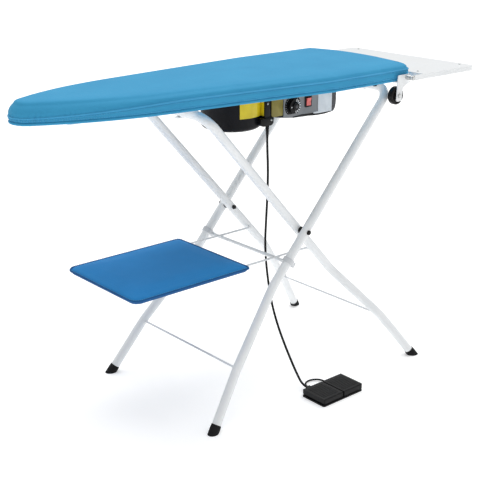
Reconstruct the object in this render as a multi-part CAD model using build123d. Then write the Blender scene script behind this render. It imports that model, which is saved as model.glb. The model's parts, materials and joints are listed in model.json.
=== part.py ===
from build123d import *
import os
from math import atan2, cos, degrees, hypot, pi, radians, sin, sqrt, tan

# Folding vacuum ironing table, millimetres, Z up, the nose of the board towards -X.
# The parts are drawn about the scissor pivot, which stands over X = 0, and the
# table's middle is Y = 0. At the end everything moves so that the origin is the
# middle of the footprint on the floor.

# Board
nose_x = -760
tail_x = 370
board_half_width = 205
taper_start_x = 60
taper_end_x = -430
taper_draw_in = 61
nose_radius = 50
tail_corner = 28
hem_z = 825
cover_edge_z = 870
crown_rise = 8
cover_wall = 5
cover_shoulder = 13
cover_draw_in = 4
felt_thickness = 9
felt_inset = 14

# Pan, plate and heater under the cover
pan_bottom_z = 824
pan_depth = 26
pan_sheet = 1.2
pan_gap = 0.3
plate_sheet = 2.5
hole_pitch_x = 62
hole_pitch_y = 54
hole_size = 5
hole_margin = 24
support_pitch = 180
support_sheet = 2
heater_diameter = 8
heater_gap = 0.5
heater_inner_y = 42
heater_outer_y = 108
heater_end_gap = 60
heater_return = 60
inlet_radius = 36
inlet_flange = 4

# Scissor legs
tube_diameter = 25
tube_wall = 1.5
crossbar_x = 314.5
crossbar_z = 800
pivot_z = 449
outer_half_width = 172
leg_gap = 6
top_corner_radius = 45
outer_bend_z = 318
inner_bend_z = 300
low_bend_z = 142
low_bend_splay = 38
bend_radius = 90
foot_x = 377
outer_foot_splay = 63
inner_foot_splay = 84
tie_bar_diameter = 6
cap_wall = 3.5
cap_length = 46
cap_sole = 16
cap_edge = 1.5
fold_angle = 40

# Pivots and saddles
bolt_diameter = 8
running_gap = 0.05
side_gap = 0.3
bolt_head_diameter = 13
bolt_head_height = 5
bolt_head_round = 3
spacer_diameter = 20
saddle_y = 70
saddle_width = 24
saddle_wall = 3
saddle_foot = 28
strip_y = 40
strip_width = 16
strip_gap = 0.5
strip_end_gap = 8
hook_wall = 3
hook_lip = 26

# Shelf
shelf_rod_diameter = 6
shelf_rod_inset = 21
shelf_rod_z = 376
shelf_rod_nose_x = -534
shelf_rod_corner = 30
shelf_rod_hook = 7
shelf_rod_reach = 6
shelf_nose_x = -548
shelf_tail_x = -187
shelf_overhang = 34
shelf_below_rod = 10
shelf_above_rod = 8
shelf_crown = 3
shelf_corner = 30
shelf_bottom_inset = 7
shelf_side_round = 4
shelf_shoulder_inset = 16
shelf_crown_inset = 60
shelf_cross_inset = 25
rest_bar_diameter = 10
rest_bar_gap = 0.5
shelf_pin_drop = 4.5
collar_width = 14
collar_wall = 3
collar_lug_wall = 2

# Iron rest
tray_tail_x = 605
tray_front_x = 378
tray_top_z = 841
tray_depth = 14
tray_sheet = 2
tray_corner = 16
rest_hinge_x = 335
rest_hinge_z = 834
rest_pin_diameter = 6
rest_pin_head = 3.5
rest_pin_inside = 3
rest_spacer_radius = 6.5
rest_spacer_length = 21.2
rest_bump_radius = 3
rest_bump_inset_x = 21
rest_bump_inset_y = 38

# Tail brackets and wheels
bracket_clear = 7
bracket_sheet = 2.5
bracket_front_x = 297
bracket_tail_x = 350
bracket_bottom_z = 770
bracket_top_z = 842
bracket_lower_width = 22
bracket_lean = 3
bracket_step_rise = 22
bracket_tail_rise = 34
bracket_top_inset = 4
bracket_corner = 5
bracket_foot = 45
cleat_x = 237
cleat_inset = 18
cleat_radius = 6
cleat_height = 7
cleat_round = 2.5
screw_radius = 3
screw_height = 1.8
screw_round = 1.2
wheel_x = 308
wheel_z = 785
wheel_diameter = 50
wheel_width = 17
wheel_side_gap = 2.5
wheel_hub_radius = 9
wheel_rim = 6
wheel_web_depth = 4
wheel_round = 4
axle_head_height = 4.5
axle_shoulder_radius = 6.5
axle_nut_radius = 6
axle_nut_height = 3
axle_tip = 0.7

# Suction unit
unit_half_width = 105
unit_bottom_z = 737
housing_nose_x = -293
housing_slant_x = -216
housing_tail_x = -64
housing_wall = 2.5
housing_corner = 50
housing_edge = 6
housing_rim = 6
inlet_plate_thickness = 6
fan_x = -165
fan_radius = 74
fan_height = 24
fan_gap = 4
fan_sheet = 2
fan_hub_radius = 12
fan_hub_height = 14
fan_blades = 11
fan_blade_thickness = 2
fan_blade_sweep = 32
fan_blade_bulge = (6, -9)
motor_radius = 42
motor_height = 40
motor_edge = 5
motor_shaft_radius = 4
motor_shaft_start = 8
motor_bore_start = 6
slot_count = 5
slot_pitch = 9
slot_end_gap = 14
slot_width = 5
slot_length = 90

# Control box
box_front_x = -62
box_tail_x = 151
box_belly_z = 747
box_edge_z = 760
box_wall = 2
end_cap_x = 179
end_cap_corner = 14
box_tail_rise = 6
window_frame = 4
mains_gland_end_gap = 40
mains_gland_rise = 14
mains_gland_radius = 6
mains_gland_nose_radius = 9
mains_gland_nose = 7
mains_gland_inside = 8
mains_gland_bore = 3.5
panel_front_x = -25
panel_sheet = 2.5
panel_top_gap = 4
knob_x = 7
knob_z = 782
knob_diameter = 34
knob_height = 15
knob_skirt_height = 4
knob_skirt = 3
knob_ribs = 18
knob_rib_radius = 1
knob_pointer = 1.5
knob_shaft_radius = 3
knob_shaft_reach = 12
knob_hole_radius = 5
dial_diameter = 56
dial_sheet = 0.8
dial_bore = 8
dial_top_gap = 8
thermostat_radius = 15
thermostat_depth = 22
thermostat_bore_depth = 14
switch_x = 63
switch_z = 787
switch_width = 24
switch_height = 31
switch_rim = 3
switch_rim_height = 2.5
switch_depth = 18
switch_corner = 3
switch_wall = 1
switch_floor = 4
rocker_tilt = 6
rocker_gap = 0.5
rocker_proud = 1.5
rocker_vee = 1.5
rocker_pivot_depth = 2
rocker_back_depth = 3
plate_thickness = 0.8
plate_corner = 2
yellow_plate_x = -137
yellow_plate_z = 785
yellow_plate_size = (80, 52)
small_plate_x = -44
small_plate_z = 783
small_plate_size = (30, 46)
white_plate_x = 118
white_plate_z = 774
white_plate_size = (44, 36)

# Cord, strain relief and foot pedals
cord_diameter = 6.5
link_cord_diameter = 5
cord_exit_x = -84
cord_exit_y = -109
post_screw_z = 799
panel_screw_z = 808
panel_screw_inset = 7
post_width = 24
post_depth = 14
post_bottom_z = 745
post_top_z = 812
post_corner = 3
gland_diameter = 14
gland_height = 8
gland_taper = 2
gland_floor = 3
gland_grip = 0.5
pedal_front_y = -322
pedal_back_y = -236
pedal_left_x = -63
pedal_right_x = 89
pedal_base_height = 4
pedal_gap = 4
pedal_bottom_z = 8
pedal_top_z = 22
pedal_wall = 3
pedal_edge = 3
pedal_pin_y = -250
pedal_pin_z = 14
pedal_pin_diameter = 5
pedal_ribs = 9
pedal_rib_height = 0.8
pedal_rib_inset = 8
pedal_rib_start = 12
pedal_top_edge = 2.5
pedal_side_gap = 2
pedal_travel = 3
pedal_button_gap = 0.5
lug_width = 4
lug_half_depth = 6
base_corner = 6
switch_case_half_x = 10
switch_case_half_y = 5
switch_case_height = 6
switch_button_radius = 2
switch_offset_y = 8
grommet_depth = 12
grommet_width = 14
grommet_wall = 4
grommet_gap = 1
cord_port_x = -30
cord_port_z = 12
link_port_x = -18
link_far_x = 42
link_port_z = 4.5

# Values that follow from those above
taper_end_half_width = board_half_width - taper_draw_in
inner_half_width = outer_half_width - tube_diameter - leg_gap
low_bend_half_width = outer_half_width + low_bend_splay
outer_foot_y = outer_half_width + outer_foot_splay
inner_foot_y = outer_half_width + inner_foot_splay
shelf_rod_half_width = inner_half_width - shelf_rod_inset
shelf_half_width = shelf_rod_half_width + shelf_overhang
bracket_y = board_half_width + bracket_clear
tray_half_width = bracket_y + bracket_sheet + rest_spacer_length + side_gap + tray_sheet
tube_radius = tube_diameter / 2
bolt_radius = bolt_diameter / 2
shelf_rod_radius = shelf_rod_diameter / 2
rest_bar_radius = rest_bar_diameter / 2
leg_rise = crossbar_z - pivot_z
leg_angle = atan2(leg_rise, crossbar_x)
run_per_rise = crossbar_x / leg_rise
arm_length = hypot(crossbar_x, leg_rise)
pan_top_z = pan_bottom_z + pan_depth
plate_top_z = pan_top_z + plate_sheet
felt_top_z = plate_top_z + felt_thickness
pan_inset = cover_wall + pan_gap
face_y = -unit_half_width
mains_gland_x = box_tail_x - mains_gland_end_gap
mains_gland_z = box_edge_z + mains_gland_rise
switch_hole_width = switch_width - 2 * switch_rim
switch_hole_height = switch_height - 2 * switch_rim
wheel_low_y = bracket_y - wheel_side_gap - wheel_width
fan_low_z = pan_bottom_z - inlet_plate_thickness - fan_gap - fan_height
cap_radius = tube_radius + cap_wall
panel_y = face_y - panel_sheet
housing_top_z = pan_bottom_z - inlet_plate_thickness
pin_distance = (pivot_z - shelf_rod_z - shelf_pin_drop * cos(leg_angle)) / sin(leg_angle)
shelf_pin_x = pin_distance * cos(leg_angle) - shelf_pin_drop * sin(leg_angle)
rest_bar_z = shelf_rod_z - shelf_rod_radius - rest_bar_gap - rest_bar_radius
rest_bar_drop = tube_radius + rest_bar_radius
rest_bar_distance = (pivot_z - rest_bar_z - rest_bar_drop * cos(leg_angle)) / sin(leg_angle)
rest_bar_x = rest_bar_drop * sin(leg_angle) - rest_bar_distance * cos(leg_angle)
pedal_middle_x = (pedal_left_x + pedal_right_x) / 2
footprint_x = (tray_tail_x + nose_x) / 2
footprint_y = (pedal_front_y + inner_foot_y + cap_radius) / 2

# Routes of the two free cords, chosen by hand
pedal_cord_route = [
    (cord_exit_x, cord_exit_y, post_bottom_z - gland_height),
    (cord_exit_x, cord_exit_y, 690),
    (-77, -105, 633),
    (-70, -97, 575),
    (-62.5, -86, 517),
    (-53, -72, 461),
    (-42, -57, 407),
    (-32.5, -48.5, 354),
    (-27.5, -50, 302),
    (-28, -61, 252),
    (-31, -79, 205),
    (-34, -103, 161),
    (-33.5, -131, 113),
    (-31, -168, 54.5),
    (-30, -192.5, 23.2),
    (-30, -199.3, 17.7),
    (-30, -207.1, 13.9),
    (cord_port_x, -215.5, cord_port_z),
    (cord_port_x, pedal_back_y + grommet_depth, cord_port_z),
]
link_cord_route = [
    (link_port_x, pedal_back_y + grommet_depth, link_port_z),
    (link_port_x, -208, link_port_z),
    (-10, -194, 4),
    (4, -186, 3.5),
    (20, -186, 3.5),
    (34, -194, 4),
    (link_far_x, -208, link_port_z),
    (link_far_x, pedal_back_y + grommet_depth, link_port_z),
]


# General shapes

def between_y(sketch, low, high):
    """Extrude a sketch drawn in X and Z from one Y to another."""
    return extrude(Plane.XZ.offset(-high) * sketch, high - low)


def cylinder_y(radius, low, high, x, z):
    """A round bar along Y."""
    return Pos(x, (low + high) / 2, z) * Rot(90, 0, 0) * Cylinder(radius, high - low)


def cylinder_z(radius, low, high, x, y):
    """A round bar along Z."""
    return Pos(x, y, (low + high) / 2) * Cylinder(radius, high - low)


def block(x_low, x_high, y_low, y_high, z_low, z_high):
    """A box given by its faces."""
    size = (x_high - x_low, y_high - y_low, z_high - z_low)
    middle = ((x_low + x_high) / 2, (y_low + y_high) / 2, (z_low + z_high) / 2)
    return Pos(*middle) * Box(*size)


def at_point(sketch, x, z):
    """Place a sketch that is drawn in X and Z."""
    return Pos(x, z) * sketch


def both_sides(shape):
    """The shape and its mirror image across the table's middle plane."""
    return [shape, mirror(shape, Plane.XZ)]


def round_bar(path, radius):
    """A solid round bar that follows a path."""
    return sweep(Plane(origin=path @ 0, z_dir=path % 0) * Circle(radius), path=path)


def bend_radii(route):
    """Bend radius at each inner point: 0.45 of the shorter run over the tangent of half the turn."""
    points = [Vector(*p) for p in route]
    radii = []
    for before, here, after in zip(points, points[1:], points[2:]):
        run_in = here - before
        run_out = after - here
        half_turn = radians(run_in.get_angle(run_out)) / 2
        radii.append(0.45 * min(run_in.length, run_out.length) / tan(half_turn))
    return radii


def free_cord(name, route, diameter):
    """A free cord: straight runs joined by tangent arcs, checked against its own length."""
    radii = bend_radii(route)
    path = FilletPolyline(*route, radius=radii)
    cord = round_bar(path, diameter / 2)
    section = pi * diameter**2 / 4
    print(f"{name}: length {path.length:.0f}, least bend radius {min(radii):.0f},"
          f" volume over section times length {cord.volume / (section * path.length):.4f}")
    return cord


# Board

def board_outline(inset=0):
    """Boat shape of the board: straight tail, tapering sides, a long arc and a round nose."""
    start = Vector(taper_start_x, board_half_width)
    end = Vector(taper_end_x, taper_end_half_width)
    along = (end - start).normalized()
    inward = Vector(-along.Y, along.X)
    nose = Vector(nose_x + nose_radius, 0)
    # The long arc is tangent to the tapering side at its end and to the nose circle.
    gap = end - nose
    long_radius = (gap.length**2 - nose_radius**2) / (-2 * (gap.dot(inward) + nose_radius))
    centre = end + inward * long_radius
    touch = nose + (nose - centre).normalized() * nose_radius
    middle = centre + ((end - centre) + (touch - centre)).normalized() * abs(long_radius)
    corner_x = tail_x - tail_corner
    corner_y = board_half_width - tail_corner
    corner_middle = Vector(corner_x, corner_y) + Vector(1, 1) * tail_corner * sqrt(0.5)
    upper = [
        Line((tail_x, 0), (tail_x, corner_y)),
        ThreePointArc((tail_x, corner_y), corner_middle, (corner_x, board_half_width)),
        Line((corner_x, board_half_width), start),
        Line(start, end),
        ThreePointArc(end, middle, touch),
    ]
    nose_arc = ThreePointArc(touch, (nose_x, 0), (touch.X, -touch.Y))
    lower = [mirror(edge, Plane.XZ) for edge in upper]
    face = make_face(Curve() + upper + [nose_arc] + lower)
    if inset:
        face = offset(face, amount=-inset, kind=Kind.INTERSECTION)
    return face


def board_block(inset, low, high):
    """The board's outline, drawn in, between two heights."""
    return Pos(0, 0, low) * extrude(board_outline(inset), high - low)


def crown_cut(edge_z):
    """A long barrel whose top falls by the crown's rise at the board's side."""
    radius = (board_half_width**2 + crown_rise**2) / (2 * crown_rise)
    top = edge_z + crown_rise
    length = (tail_x - nose_x) * 1.2
    return Pos((tail_x + nose_x) / 2, 0, top - radius) * Rot(0, 90, 0) * Cylinder(radius, length)


def cover_form():
    """Outer form of the padded cover: crowned top, round shoulder, drawn-in hem."""
    form = board_block(0, hem_z, cover_edge_z + 2 * crown_rise) & crown_cut(cover_edge_z)
    form = form.solid()
    top = form.faces().sort_by(Axis.Z)[-1]
    form = fillet(top.edges(), cover_shoulder)
    bottom = form.faces().sort_by(Axis.Z)[0]
    return chamfer(bottom.edges(), cover_draw_in, cover_draw_in * 2.5)


def board_cover():
    """Padded cover that is drawn over the plate and down round the pan."""
    cavity = board_block(cover_wall, hem_z - 1, plate_top_z)
    return cover_form() - cavity - felt_pad()


def felt_pad():
    """Felt that lies on the perforated plate."""
    return board_block(felt_inset, plate_top_z, felt_top_z)


def base_pan():
    """Pressed pan, open at the top, that the fan draws the air out of."""
    pan = board_block(pan_inset, pan_bottom_z, pan_top_z)
    pan -= board_block(pan_inset + pan_sheet, pan_bottom_z + pan_sheet, pan_top_z + 1)
    return pan - cylinder_z(inlet_radius, pan_bottom_z - 1, pan_top_z, fan_x, 0)


def perforated_plate():
    """Ironing plate with staggered rows of air holes."""
    plate = board_block(pan_inset, pan_top_z, plate_top_z)
    margin = board_outline(pan_inset + hole_margin)
    rows = int((tail_x - nose_x) / hole_pitch_x)
    columns = int(2 * board_half_width / hole_pitch_y)
    holes = []
    for row in range(rows):
        for column in range(-columns, columns + 1):
            x = tail_x - hole_margin - (row + 0.5) * hole_pitch_x
            y = (column + 0.5 * (row % 2)) * hole_pitch_y
            if margin.face().is_inside((x, y, 0)):
                holes.append(Pos(x, y) * RegularPolygon(hole_size, 6))
    return plate - Pos(0, 0, pan_top_z - 1) * extrude(Sketch() + holes, plate_sheet + 2)


def heater_path():
    """Centre line of the heater: four long runs joined by round turns."""
    z = pan_top_z - heater_gap - heater_diameter / 2
    front = taper_end_x + heater_end_gap
    back = tail_x - heater_end_gap
    points = [
        (back, -heater_outer_y, z),
        (front, -heater_outer_y, z),
        (front, -heater_inner_y, z),
        (back - heater_return, -heater_inner_y, z),
        (back - heater_return, heater_inner_y, z),
        (front, heater_inner_y, z),
        (front, heater_outer_y, z),
        (back, heater_outer_y, z),
    ]
    return FilletPolyline(*points, radius=(heater_outer_y - heater_inner_y) * 0.45)


def heater_element():
    """Tube heater that lies in the slots of the plate supports."""
    return round_bar(heater_path(), heater_diameter / 2)


def plate_supports():
    """Upright strips across the pan that carry the plate, slotted for the heater."""
    inside = board_block(pan_inset + pan_sheet, pan_bottom_z + pan_sheet, pan_top_z)
    strips = []
    for index in range(int((tail_x - nose_x) / support_pitch)):
        x = tail_x - support_pitch * (index + 0.6)
        strip = block(x, x + support_sheet, -board_half_width, board_half_width, pan_bottom_z, pan_top_z)
        strips.append(strip & inside)
    supports = Part() + strips
    low = pan_top_z - heater_gap - heater_diameter
    for y in (-heater_outer_y, -heater_inner_y, heater_inner_y, heater_outer_y):
        half = heater_diameter / 2
        supports -= block(nose_x, tail_x, y - half, y + half, low, pan_top_z + 1)
    return supports


# Suction unit

def housing_block(inset, top):
    """The fan housing's form: slanted nose, round nose corners, flat bottom."""
    profile = make_face(Polyline(
        (housing_nose_x + inset, top),
        (housing_nose_x + inset, housing_top_z - housing_rim),
        (housing_slant_x + inset / 2, unit_bottom_z + inset),
        (housing_tail_x - inset, unit_bottom_z + inset),
        (housing_tail_x - inset, top),
        close=True,
    ))
    half = unit_half_width - inset
    corner = housing_corner - inset
    plan = make_face(FilletPolyline(
        (housing_tail_x, -half),
        (housing_nose_x + inset, -half),
        (housing_nose_x + inset, half),
        (housing_tail_x, half),
        radius=[corner, corner],
    ) + Line((housing_tail_x, -half), (housing_tail_x, half)))
    return between_y(profile, -half, half) & extrude(plan, top)


def fan_housing():
    """Moulded fan housing under the pan, open at the top, with outlet slots below."""
    outer = housing_block(0, housing_top_z)
    bottom = outer.faces().sort_by(Axis.Z)[0]
    outer = fillet(bottom.edges(), housing_edge)
    housing = outer - housing_block(housing_wall, housing_top_z + 1)
    half = slot_length / 2
    for index in range(slot_count):
        x = housing_tail_x - slot_end_gap - slot_pitch * index
        housing -= block(x - slot_width, x, -half, half, unit_bottom_z - 1, unit_bottom_z + housing_wall + 1)
    return housing


def inlet_plate():
    """Plate between the pan and the fan housing, with the fan's round inlet."""
    half = unit_half_width + inlet_flange
    plate = block(housing_nose_x - inlet_flange, housing_tail_x, -half, half, housing_top_z, pan_bottom_z)
    corners = plate.edges().filter_by(Axis.Z).sort_by(Axis.X)[:2]
    plate = fillet(corners, housing_corner)
    return plate - cylinder_z(inlet_radius, housing_top_z - 1, pan_bottom_z + 1, fan_x, 0)


def fan_blade(inner, outer):
    """One backward-curved blade."""
    sweep_angle = radians(fan_blade_sweep)
    start = Vector(inner, 0)
    end = Vector(outer * cos(sweep_angle), outer * sin(sweep_angle))
    line = ThreePointArc(start, (start + end) * 0.5 + Vector(*fan_blade_bulge), end)
    return trace(line, fan_blade_thickness)


def fan_impeller():
    """Fan wheel: back disc, hub, curved blades and an inlet ring."""
    low = fan_low_z
    top = low + fan_height
    disc = cylinder_z(fan_radius, low, low + fan_sheet, 0, 0)
    hub = cylinder_z(fan_hub_radius, low, low + fan_hub_height, 0, 0)
    blade = fan_blade(inlet_radius - 3 * fan_sheet, fan_radius - fan_sheet)
    blades = [Rot(0, 0, 360 / fan_blades * index) * blade for index in range(fan_blades)]
    wheel = disc + hub + Pos(0, 0, low + fan_sheet) * extrude(Sketch() + blades, fan_height - 2 * fan_sheet)
    ring = cylinder_z(fan_radius, top - fan_sheet, top, 0, 0) - cylinder_z(inlet_radius, low, top + 1, 0, 0)
    bore = cylinder_z(motor_shaft_radius, low - 1, top, 0, 0)
    return Pos(fan_x, 0, 0) * (wheel + ring - bore)


def motor_body():
    """Fan motor that stands in the bottom of the housing."""
    low = unit_bottom_z + housing_wall
    can = cylinder_z(motor_radius, low, low + motor_height, fan_x, 0)
    can = fillet(can.edges().filter_by(GeomType.CIRCLE).sort_by(Axis.Z)[-1], motor_edge)
    bore = motor_shaft_radius + running_gap
    return can - cylinder_z(bore, low + motor_bore_start, low + motor_height + 1, fan_x, 0)


def motor_shaft():
    """Shaft from the motor into the fan wheel's hub."""
    low = unit_bottom_z + housing_wall + motor_shaft_start
    return cylinder_z(motor_shaft_radius, low, fan_low_z + fan_hub_height, fan_x, 0)


# Control box

def box_form(inset, top, half):
    """The control box's form, with a bellied bottom."""
    left = box_front_x + inset
    right = box_tail_x - inset
    left_z = box_edge_z + inset
    right_z = box_edge_z - box_tail_rise + inset
    bottom = ThreePointArc((left, left_z), ((left + right) / 2, box_belly_z + inset), (right, right_z))
    rest = Polyline((right, right_z), (right, top), (left, top), (left, left_z))
    return between_y(make_face(bottom + rest), -half, half)


def control_box():
    """Sheet box for the controls, open at the near side behind the panel."""
    half = unit_half_width
    top = pan_bottom_z - box_wall
    box = box_form(0, pan_bottom_z, half) - box_form(box_wall, top, half - box_wall)
    window = box_form(box_wall + window_frame, top - window_frame, half + 1)
    window &= block(panel_front_x + window_frame, box_tail_x, -half - 1, 0, unit_bottom_z, pan_bottom_z)
    gland_hole = cylinder_y(mains_gland_radius, half - 2 * box_wall, half + 1, mains_gland_x, mains_gland_z)
    return box - window - gland_hole


def mains_gland():
    """Gland in the far side of the box for the mains lead."""
    wall = unit_half_width
    low = wall - mains_gland_inside
    high = wall + mains_gland_nose
    body = cylinder_y(mains_gland_radius, low, wall, mains_gland_x, mains_gland_z)
    nose = cylinder_y(mains_gland_nose_radius, wall, high, mains_gland_x, mains_gland_z)
    return body + nose - cylinder_y(mains_gland_bore, low - 1, high + 1, mains_gland_x, mains_gland_z)


def end_cap():
    """Moulded cap on the tail end of the control box."""
    low = box_edge_z - box_tail_rise
    cap = block(box_tail_x, end_cap_x, panel_y, unit_half_width, low, pan_bottom_z)
    cap = fillet(cap.edges().filter_by(Axis.Y).group_by(Axis.Z)[0].sort_by(Axis.X)[-1], end_cap_corner)
    return fillet(cap.edges().filter_by(Axis.Z).sort_by(Axis.X)[-2:], end_cap_corner / 2)


def control_panel():
    """Grey front plate with the holes for the thermostat and the switch."""
    top = pan_bottom_z - panel_top_gap
    plate = box_form(0, top, 2 * unit_half_width)
    plate &= block(panel_front_x, box_tail_x, panel_y, face_y, unit_bottom_z, top)
    plate -= cylinder_y(knob_hole_radius, panel_y - 1, face_y + 1, knob_x, knob_z)
    return plate - switch_opening(0, panel_y - 1, face_y + 1)


def switch_opening(wall, low, high):
    """Block of the size of the switch's opening, less a wall all round."""
    opening = Rectangle(switch_hole_width - 2 * wall, switch_hole_height - 2 * wall)
    return between_y(at_point(opening, switch_x, switch_z), low, high)


def dial_ring():
    """Thin ring behind the knob that carries the scale, cut level above and below."""
    ring = cylinder_y(dial_diameter / 2, panel_y - dial_sheet, panel_y, knob_x, knob_z)
    ring -= cylinder_y(dial_bore, panel_y - 2, panel_y + 1, knob_x, knob_z)
    left = knob_x - dial_diameter
    right = knob_x + dial_diameter
    return ring & block(left, right, 2 * panel_y, 0, box_edge_z, pan_bottom_z - dial_top_gap)


def thermostat_body():
    """Thermostat behind the panel."""
    body = cylinder_y(thermostat_radius, face_y, face_y + thermostat_depth, knob_x, knob_z)
    bore = knob_shaft_radius + running_gap
    return body - cylinder_y(bore, face_y - 1, face_y + thermostat_bore_depth, knob_x, knob_z)


def thermostat_shaft():
    """Shaft that joins the knob to the thermostat."""
    front = panel_y - knob_shaft_reach
    return cylinder_y(knob_shaft_radius, front, face_y + knob_shaft_reach, knob_x, knob_z)


def thermostat_knob():
    """Round knob with a ribbed grip and a raised pointer."""
    back = panel_y - dial_sheet - side_gap
    front = back - knob_height
    skirt = back - knob_skirt_height
    grip_radius = knob_diameter / 2 - knob_skirt
    knob = cylinder_y(knob_diameter / 2, skirt, back, knob_x, knob_z)
    knob += cylinder_y(grip_radius, front, back, knob_x, knob_z)
    for index in range(knob_ribs):
        angle = 2 * pi / knob_ribs * index
        x = knob_x + grip_radius * cos(angle)
        z = knob_z + grip_radius * sin(angle)
        knob -= cylinder_y(knob_rib_radius, front - 1, skirt, x, z)
    tip = knob_z + grip_radius - knob_rib_radius
    knob += block(knob_x - knob_pointer, knob_x + knob_pointer, front - knob_pointer, front, knob_z, tip)
    return knob - cylinder_y(knob_shaft_radius, panel_y - knob_shaft_reach, back + 1, knob_x, knob_z)


def switch_body():
    """Switch case with its rim on the panel and an open well for the rocker."""
    front = panel_y - switch_rim_height
    back = panel_y + switch_depth
    rim = RectangleRounded(switch_width, switch_height, switch_corner)
    case = between_y(at_point(rim, switch_x, switch_z), front, panel_y) + switch_opening(0, panel_y, back)
    return case - switch_opening(switch_wall, front - 1, back - switch_floor)


def rocker_switch():
    """Red rocker with a shallow vee face, tilted to its off side at rest."""
    half = switch_hole_height / 2 - switch_wall - 2 * rocker_gap
    width = switch_hole_width - 2 * switch_wall - 2 * rocker_gap
    face = panel_y - switch_rim_height - rocker_proud
    pivot = panel_y + rocker_pivot_depth
    back = pivot + rocker_back_depth
    profile = make_face(Polyline(
        (face - rocker_vee, half),
        (face, 0),
        (face - rocker_vee, -half),
        (back, -half * 0.8),
        (back, half * 0.8),
        close=True,
    ))
    rocker = Pos(switch_x - width / 2, 0, 0) * extrude(Plane.YZ * profile, width)
    turned = Pos(0, pivot, 0) * Rot(rocker_tilt, 0, 0) * Pos(0, -pivot, 0) * rocker
    return Pos(0, 0, switch_z) * turned


def bare_plate(x, z, size, y):
    """A thin bare plate on an upright face."""
    return between_y(at_point(RectangleRounded(*size, plate_corner), x, z), y - plate_thickness, y)


def cord_post():
    """Upright block on the housing that holds the pedal cord's gland."""
    post = block(cord_exit_x - post_width / 2, cord_exit_x + post_width / 2, face_y - post_depth, face_y,
                 post_bottom_z, post_top_z)
    return fillet(post.edges().filter_by(Axis.Z).sort_by(Axis.Y)[:2], post_corner)


def cord_gland():
    """Strain relief below the post, where the pedal cord comes out."""
    top = post_bottom_z
    low = top - gland_height
    radius = gland_diameter / 2
    sleeve = Pos(cord_exit_x, cord_exit_y, (low + top) / 2) * Cone(radius - gland_taper, radius, gland_height)
    bore = cylinder_z(cord_diameter / 2 - gland_grip, low + gland_floor, top, cord_exit_x, cord_exit_y)
    trim = block(housing_nose_x, 0, face_y, 0, 0, pan_bottom_z)
    return sleeve - bore - trim


# Legs

def leg_point(lean, z, y):
    """A point on the straight part of a leg; lean is 1 for the outer frame and -1 for the inner."""
    return Vector(lean * (z - pivot_z) * run_per_rise, y, z)


def leg_path(lean, half_width, bend_z, foot_y):
    """Centre line of a whole bent frame, from one foot over the crossbar to the other foot."""
    low = leg_point(lean, low_bend_z, low_bend_half_width)
    floor = Vector(-lean * foot_x, foot_y, 0)
    up = (low - floor).normalized()
    side = [
        floor + up * cap_sole,
        low,
        leg_point(lean, bend_z, half_width),
        leg_point(lean, crossbar_z, half_width),
    ]
    other = [Vector(p.X, -p.Y, p.Z) for p in reversed(side)]
    radii = [bend_radius, bend_radius, top_corner_radius, top_corner_radius, bend_radius, bend_radius]
    return FilletPolyline(*side, *other, radius=radii)


def outer_path():
    """Centre line of the outer frame."""
    return leg_path(1, outer_half_width, outer_bend_z, outer_foot_y)


def inner_path():
    """Centre line of the inner frame."""
    return leg_path(-1, inner_half_width, inner_bend_z, inner_foot_y)


def bent_tube(path):
    """Steel tube that follows a path."""
    ring = Circle(tube_radius) - Circle(tube_radius - tube_wall)
    return sweep(Plane(origin=path @ 0, z_dir=path % 0) * ring, path=path)


def pivot_hole(radius):
    """The holes for both pivot bolts."""
    reach = outer_half_width + tube_diameter
    return cylinder_y(radius, -reach, reach, 0, pivot_z)


def outer_frame():
    """Outer leg frame, one bent tube."""
    return bent_tube(outer_path()) - pivot_hole(bolt_radius)


def inner_frame():
    """Inner leg frame, one bent tube, with the holes for the shelf's hooked ends."""
    frame = bent_tube(inner_path()) - pivot_hole(bolt_radius + running_gap)
    reach = inner_half_width
    return frame - cylinder_y(shelf_rod_radius + running_gap, -reach, reach, shelf_pin_x, shelf_rod_z)


def tie_bar(lean, path):
    """Thin bar between the lower bends, ends shaped to the tubes."""
    low = leg_point(lean, low_bend_z, low_bend_half_width)
    bar = cylinder_y(tie_bar_diameter / 2, -low_bend_half_width, low_bend_half_width, low.X, low.Z)
    bar -= round_bar(path, tube_radius)
    return bar.solids().sort_by(SortBy.VOLUME)[-1]


def foot_caps(lean, foot_y):
    """Rubber caps over the tube ends, cut flat where they stand."""
    low = leg_point(lean, low_bend_z, low_bend_half_width)
    floor = Vector(-lean * foot_x, foot_y, 0)
    up = (low - floor).normalized()
    start = Plane(origin=floor - up * cap_length, z_dir=up)
    cap = extrude(start * Circle(cap_radius), 2 * cap_length)
    rim = cap.edges().filter_by(GeomType.CIRCLE).sort_by(Axis.Z)[-1]
    cap = chamfer(rim, cap_edge)
    cap -= extrude(Plane(origin=floor + up * cap_sole, z_dir=up) * Circle(tube_radius), cap_length)
    reach = 2 * foot_x
    return both_sides(cap & block(-reach, reach, -reach, reach, 0, pivot_z))


def pivot_bolts():
    """Bolt of each pivot: shank, domed head outside and lock nut inside."""
    outside = outer_half_width + tube_radius
    inside = inner_half_width - tube_radius - side_gap
    shank = cylinder_y(bolt_radius, inside - bolt_head_height, outside, 0, pivot_z)
    head = cylinder_y(bolt_head_diameter / 2, outside, outside + bolt_head_height, 0, pivot_z)
    head = fillet(head.edges().filter_by(GeomType.CIRCLE).sort_by(Axis.Y)[-1], bolt_head_round)
    nut = at_point(RegularPolygon(bolt_head_diameter / 2, 6), 0, pivot_z)
    nut = between_y(nut, inside - bolt_head_height, inside)
    return both_sides(shank + head + nut)


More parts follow.
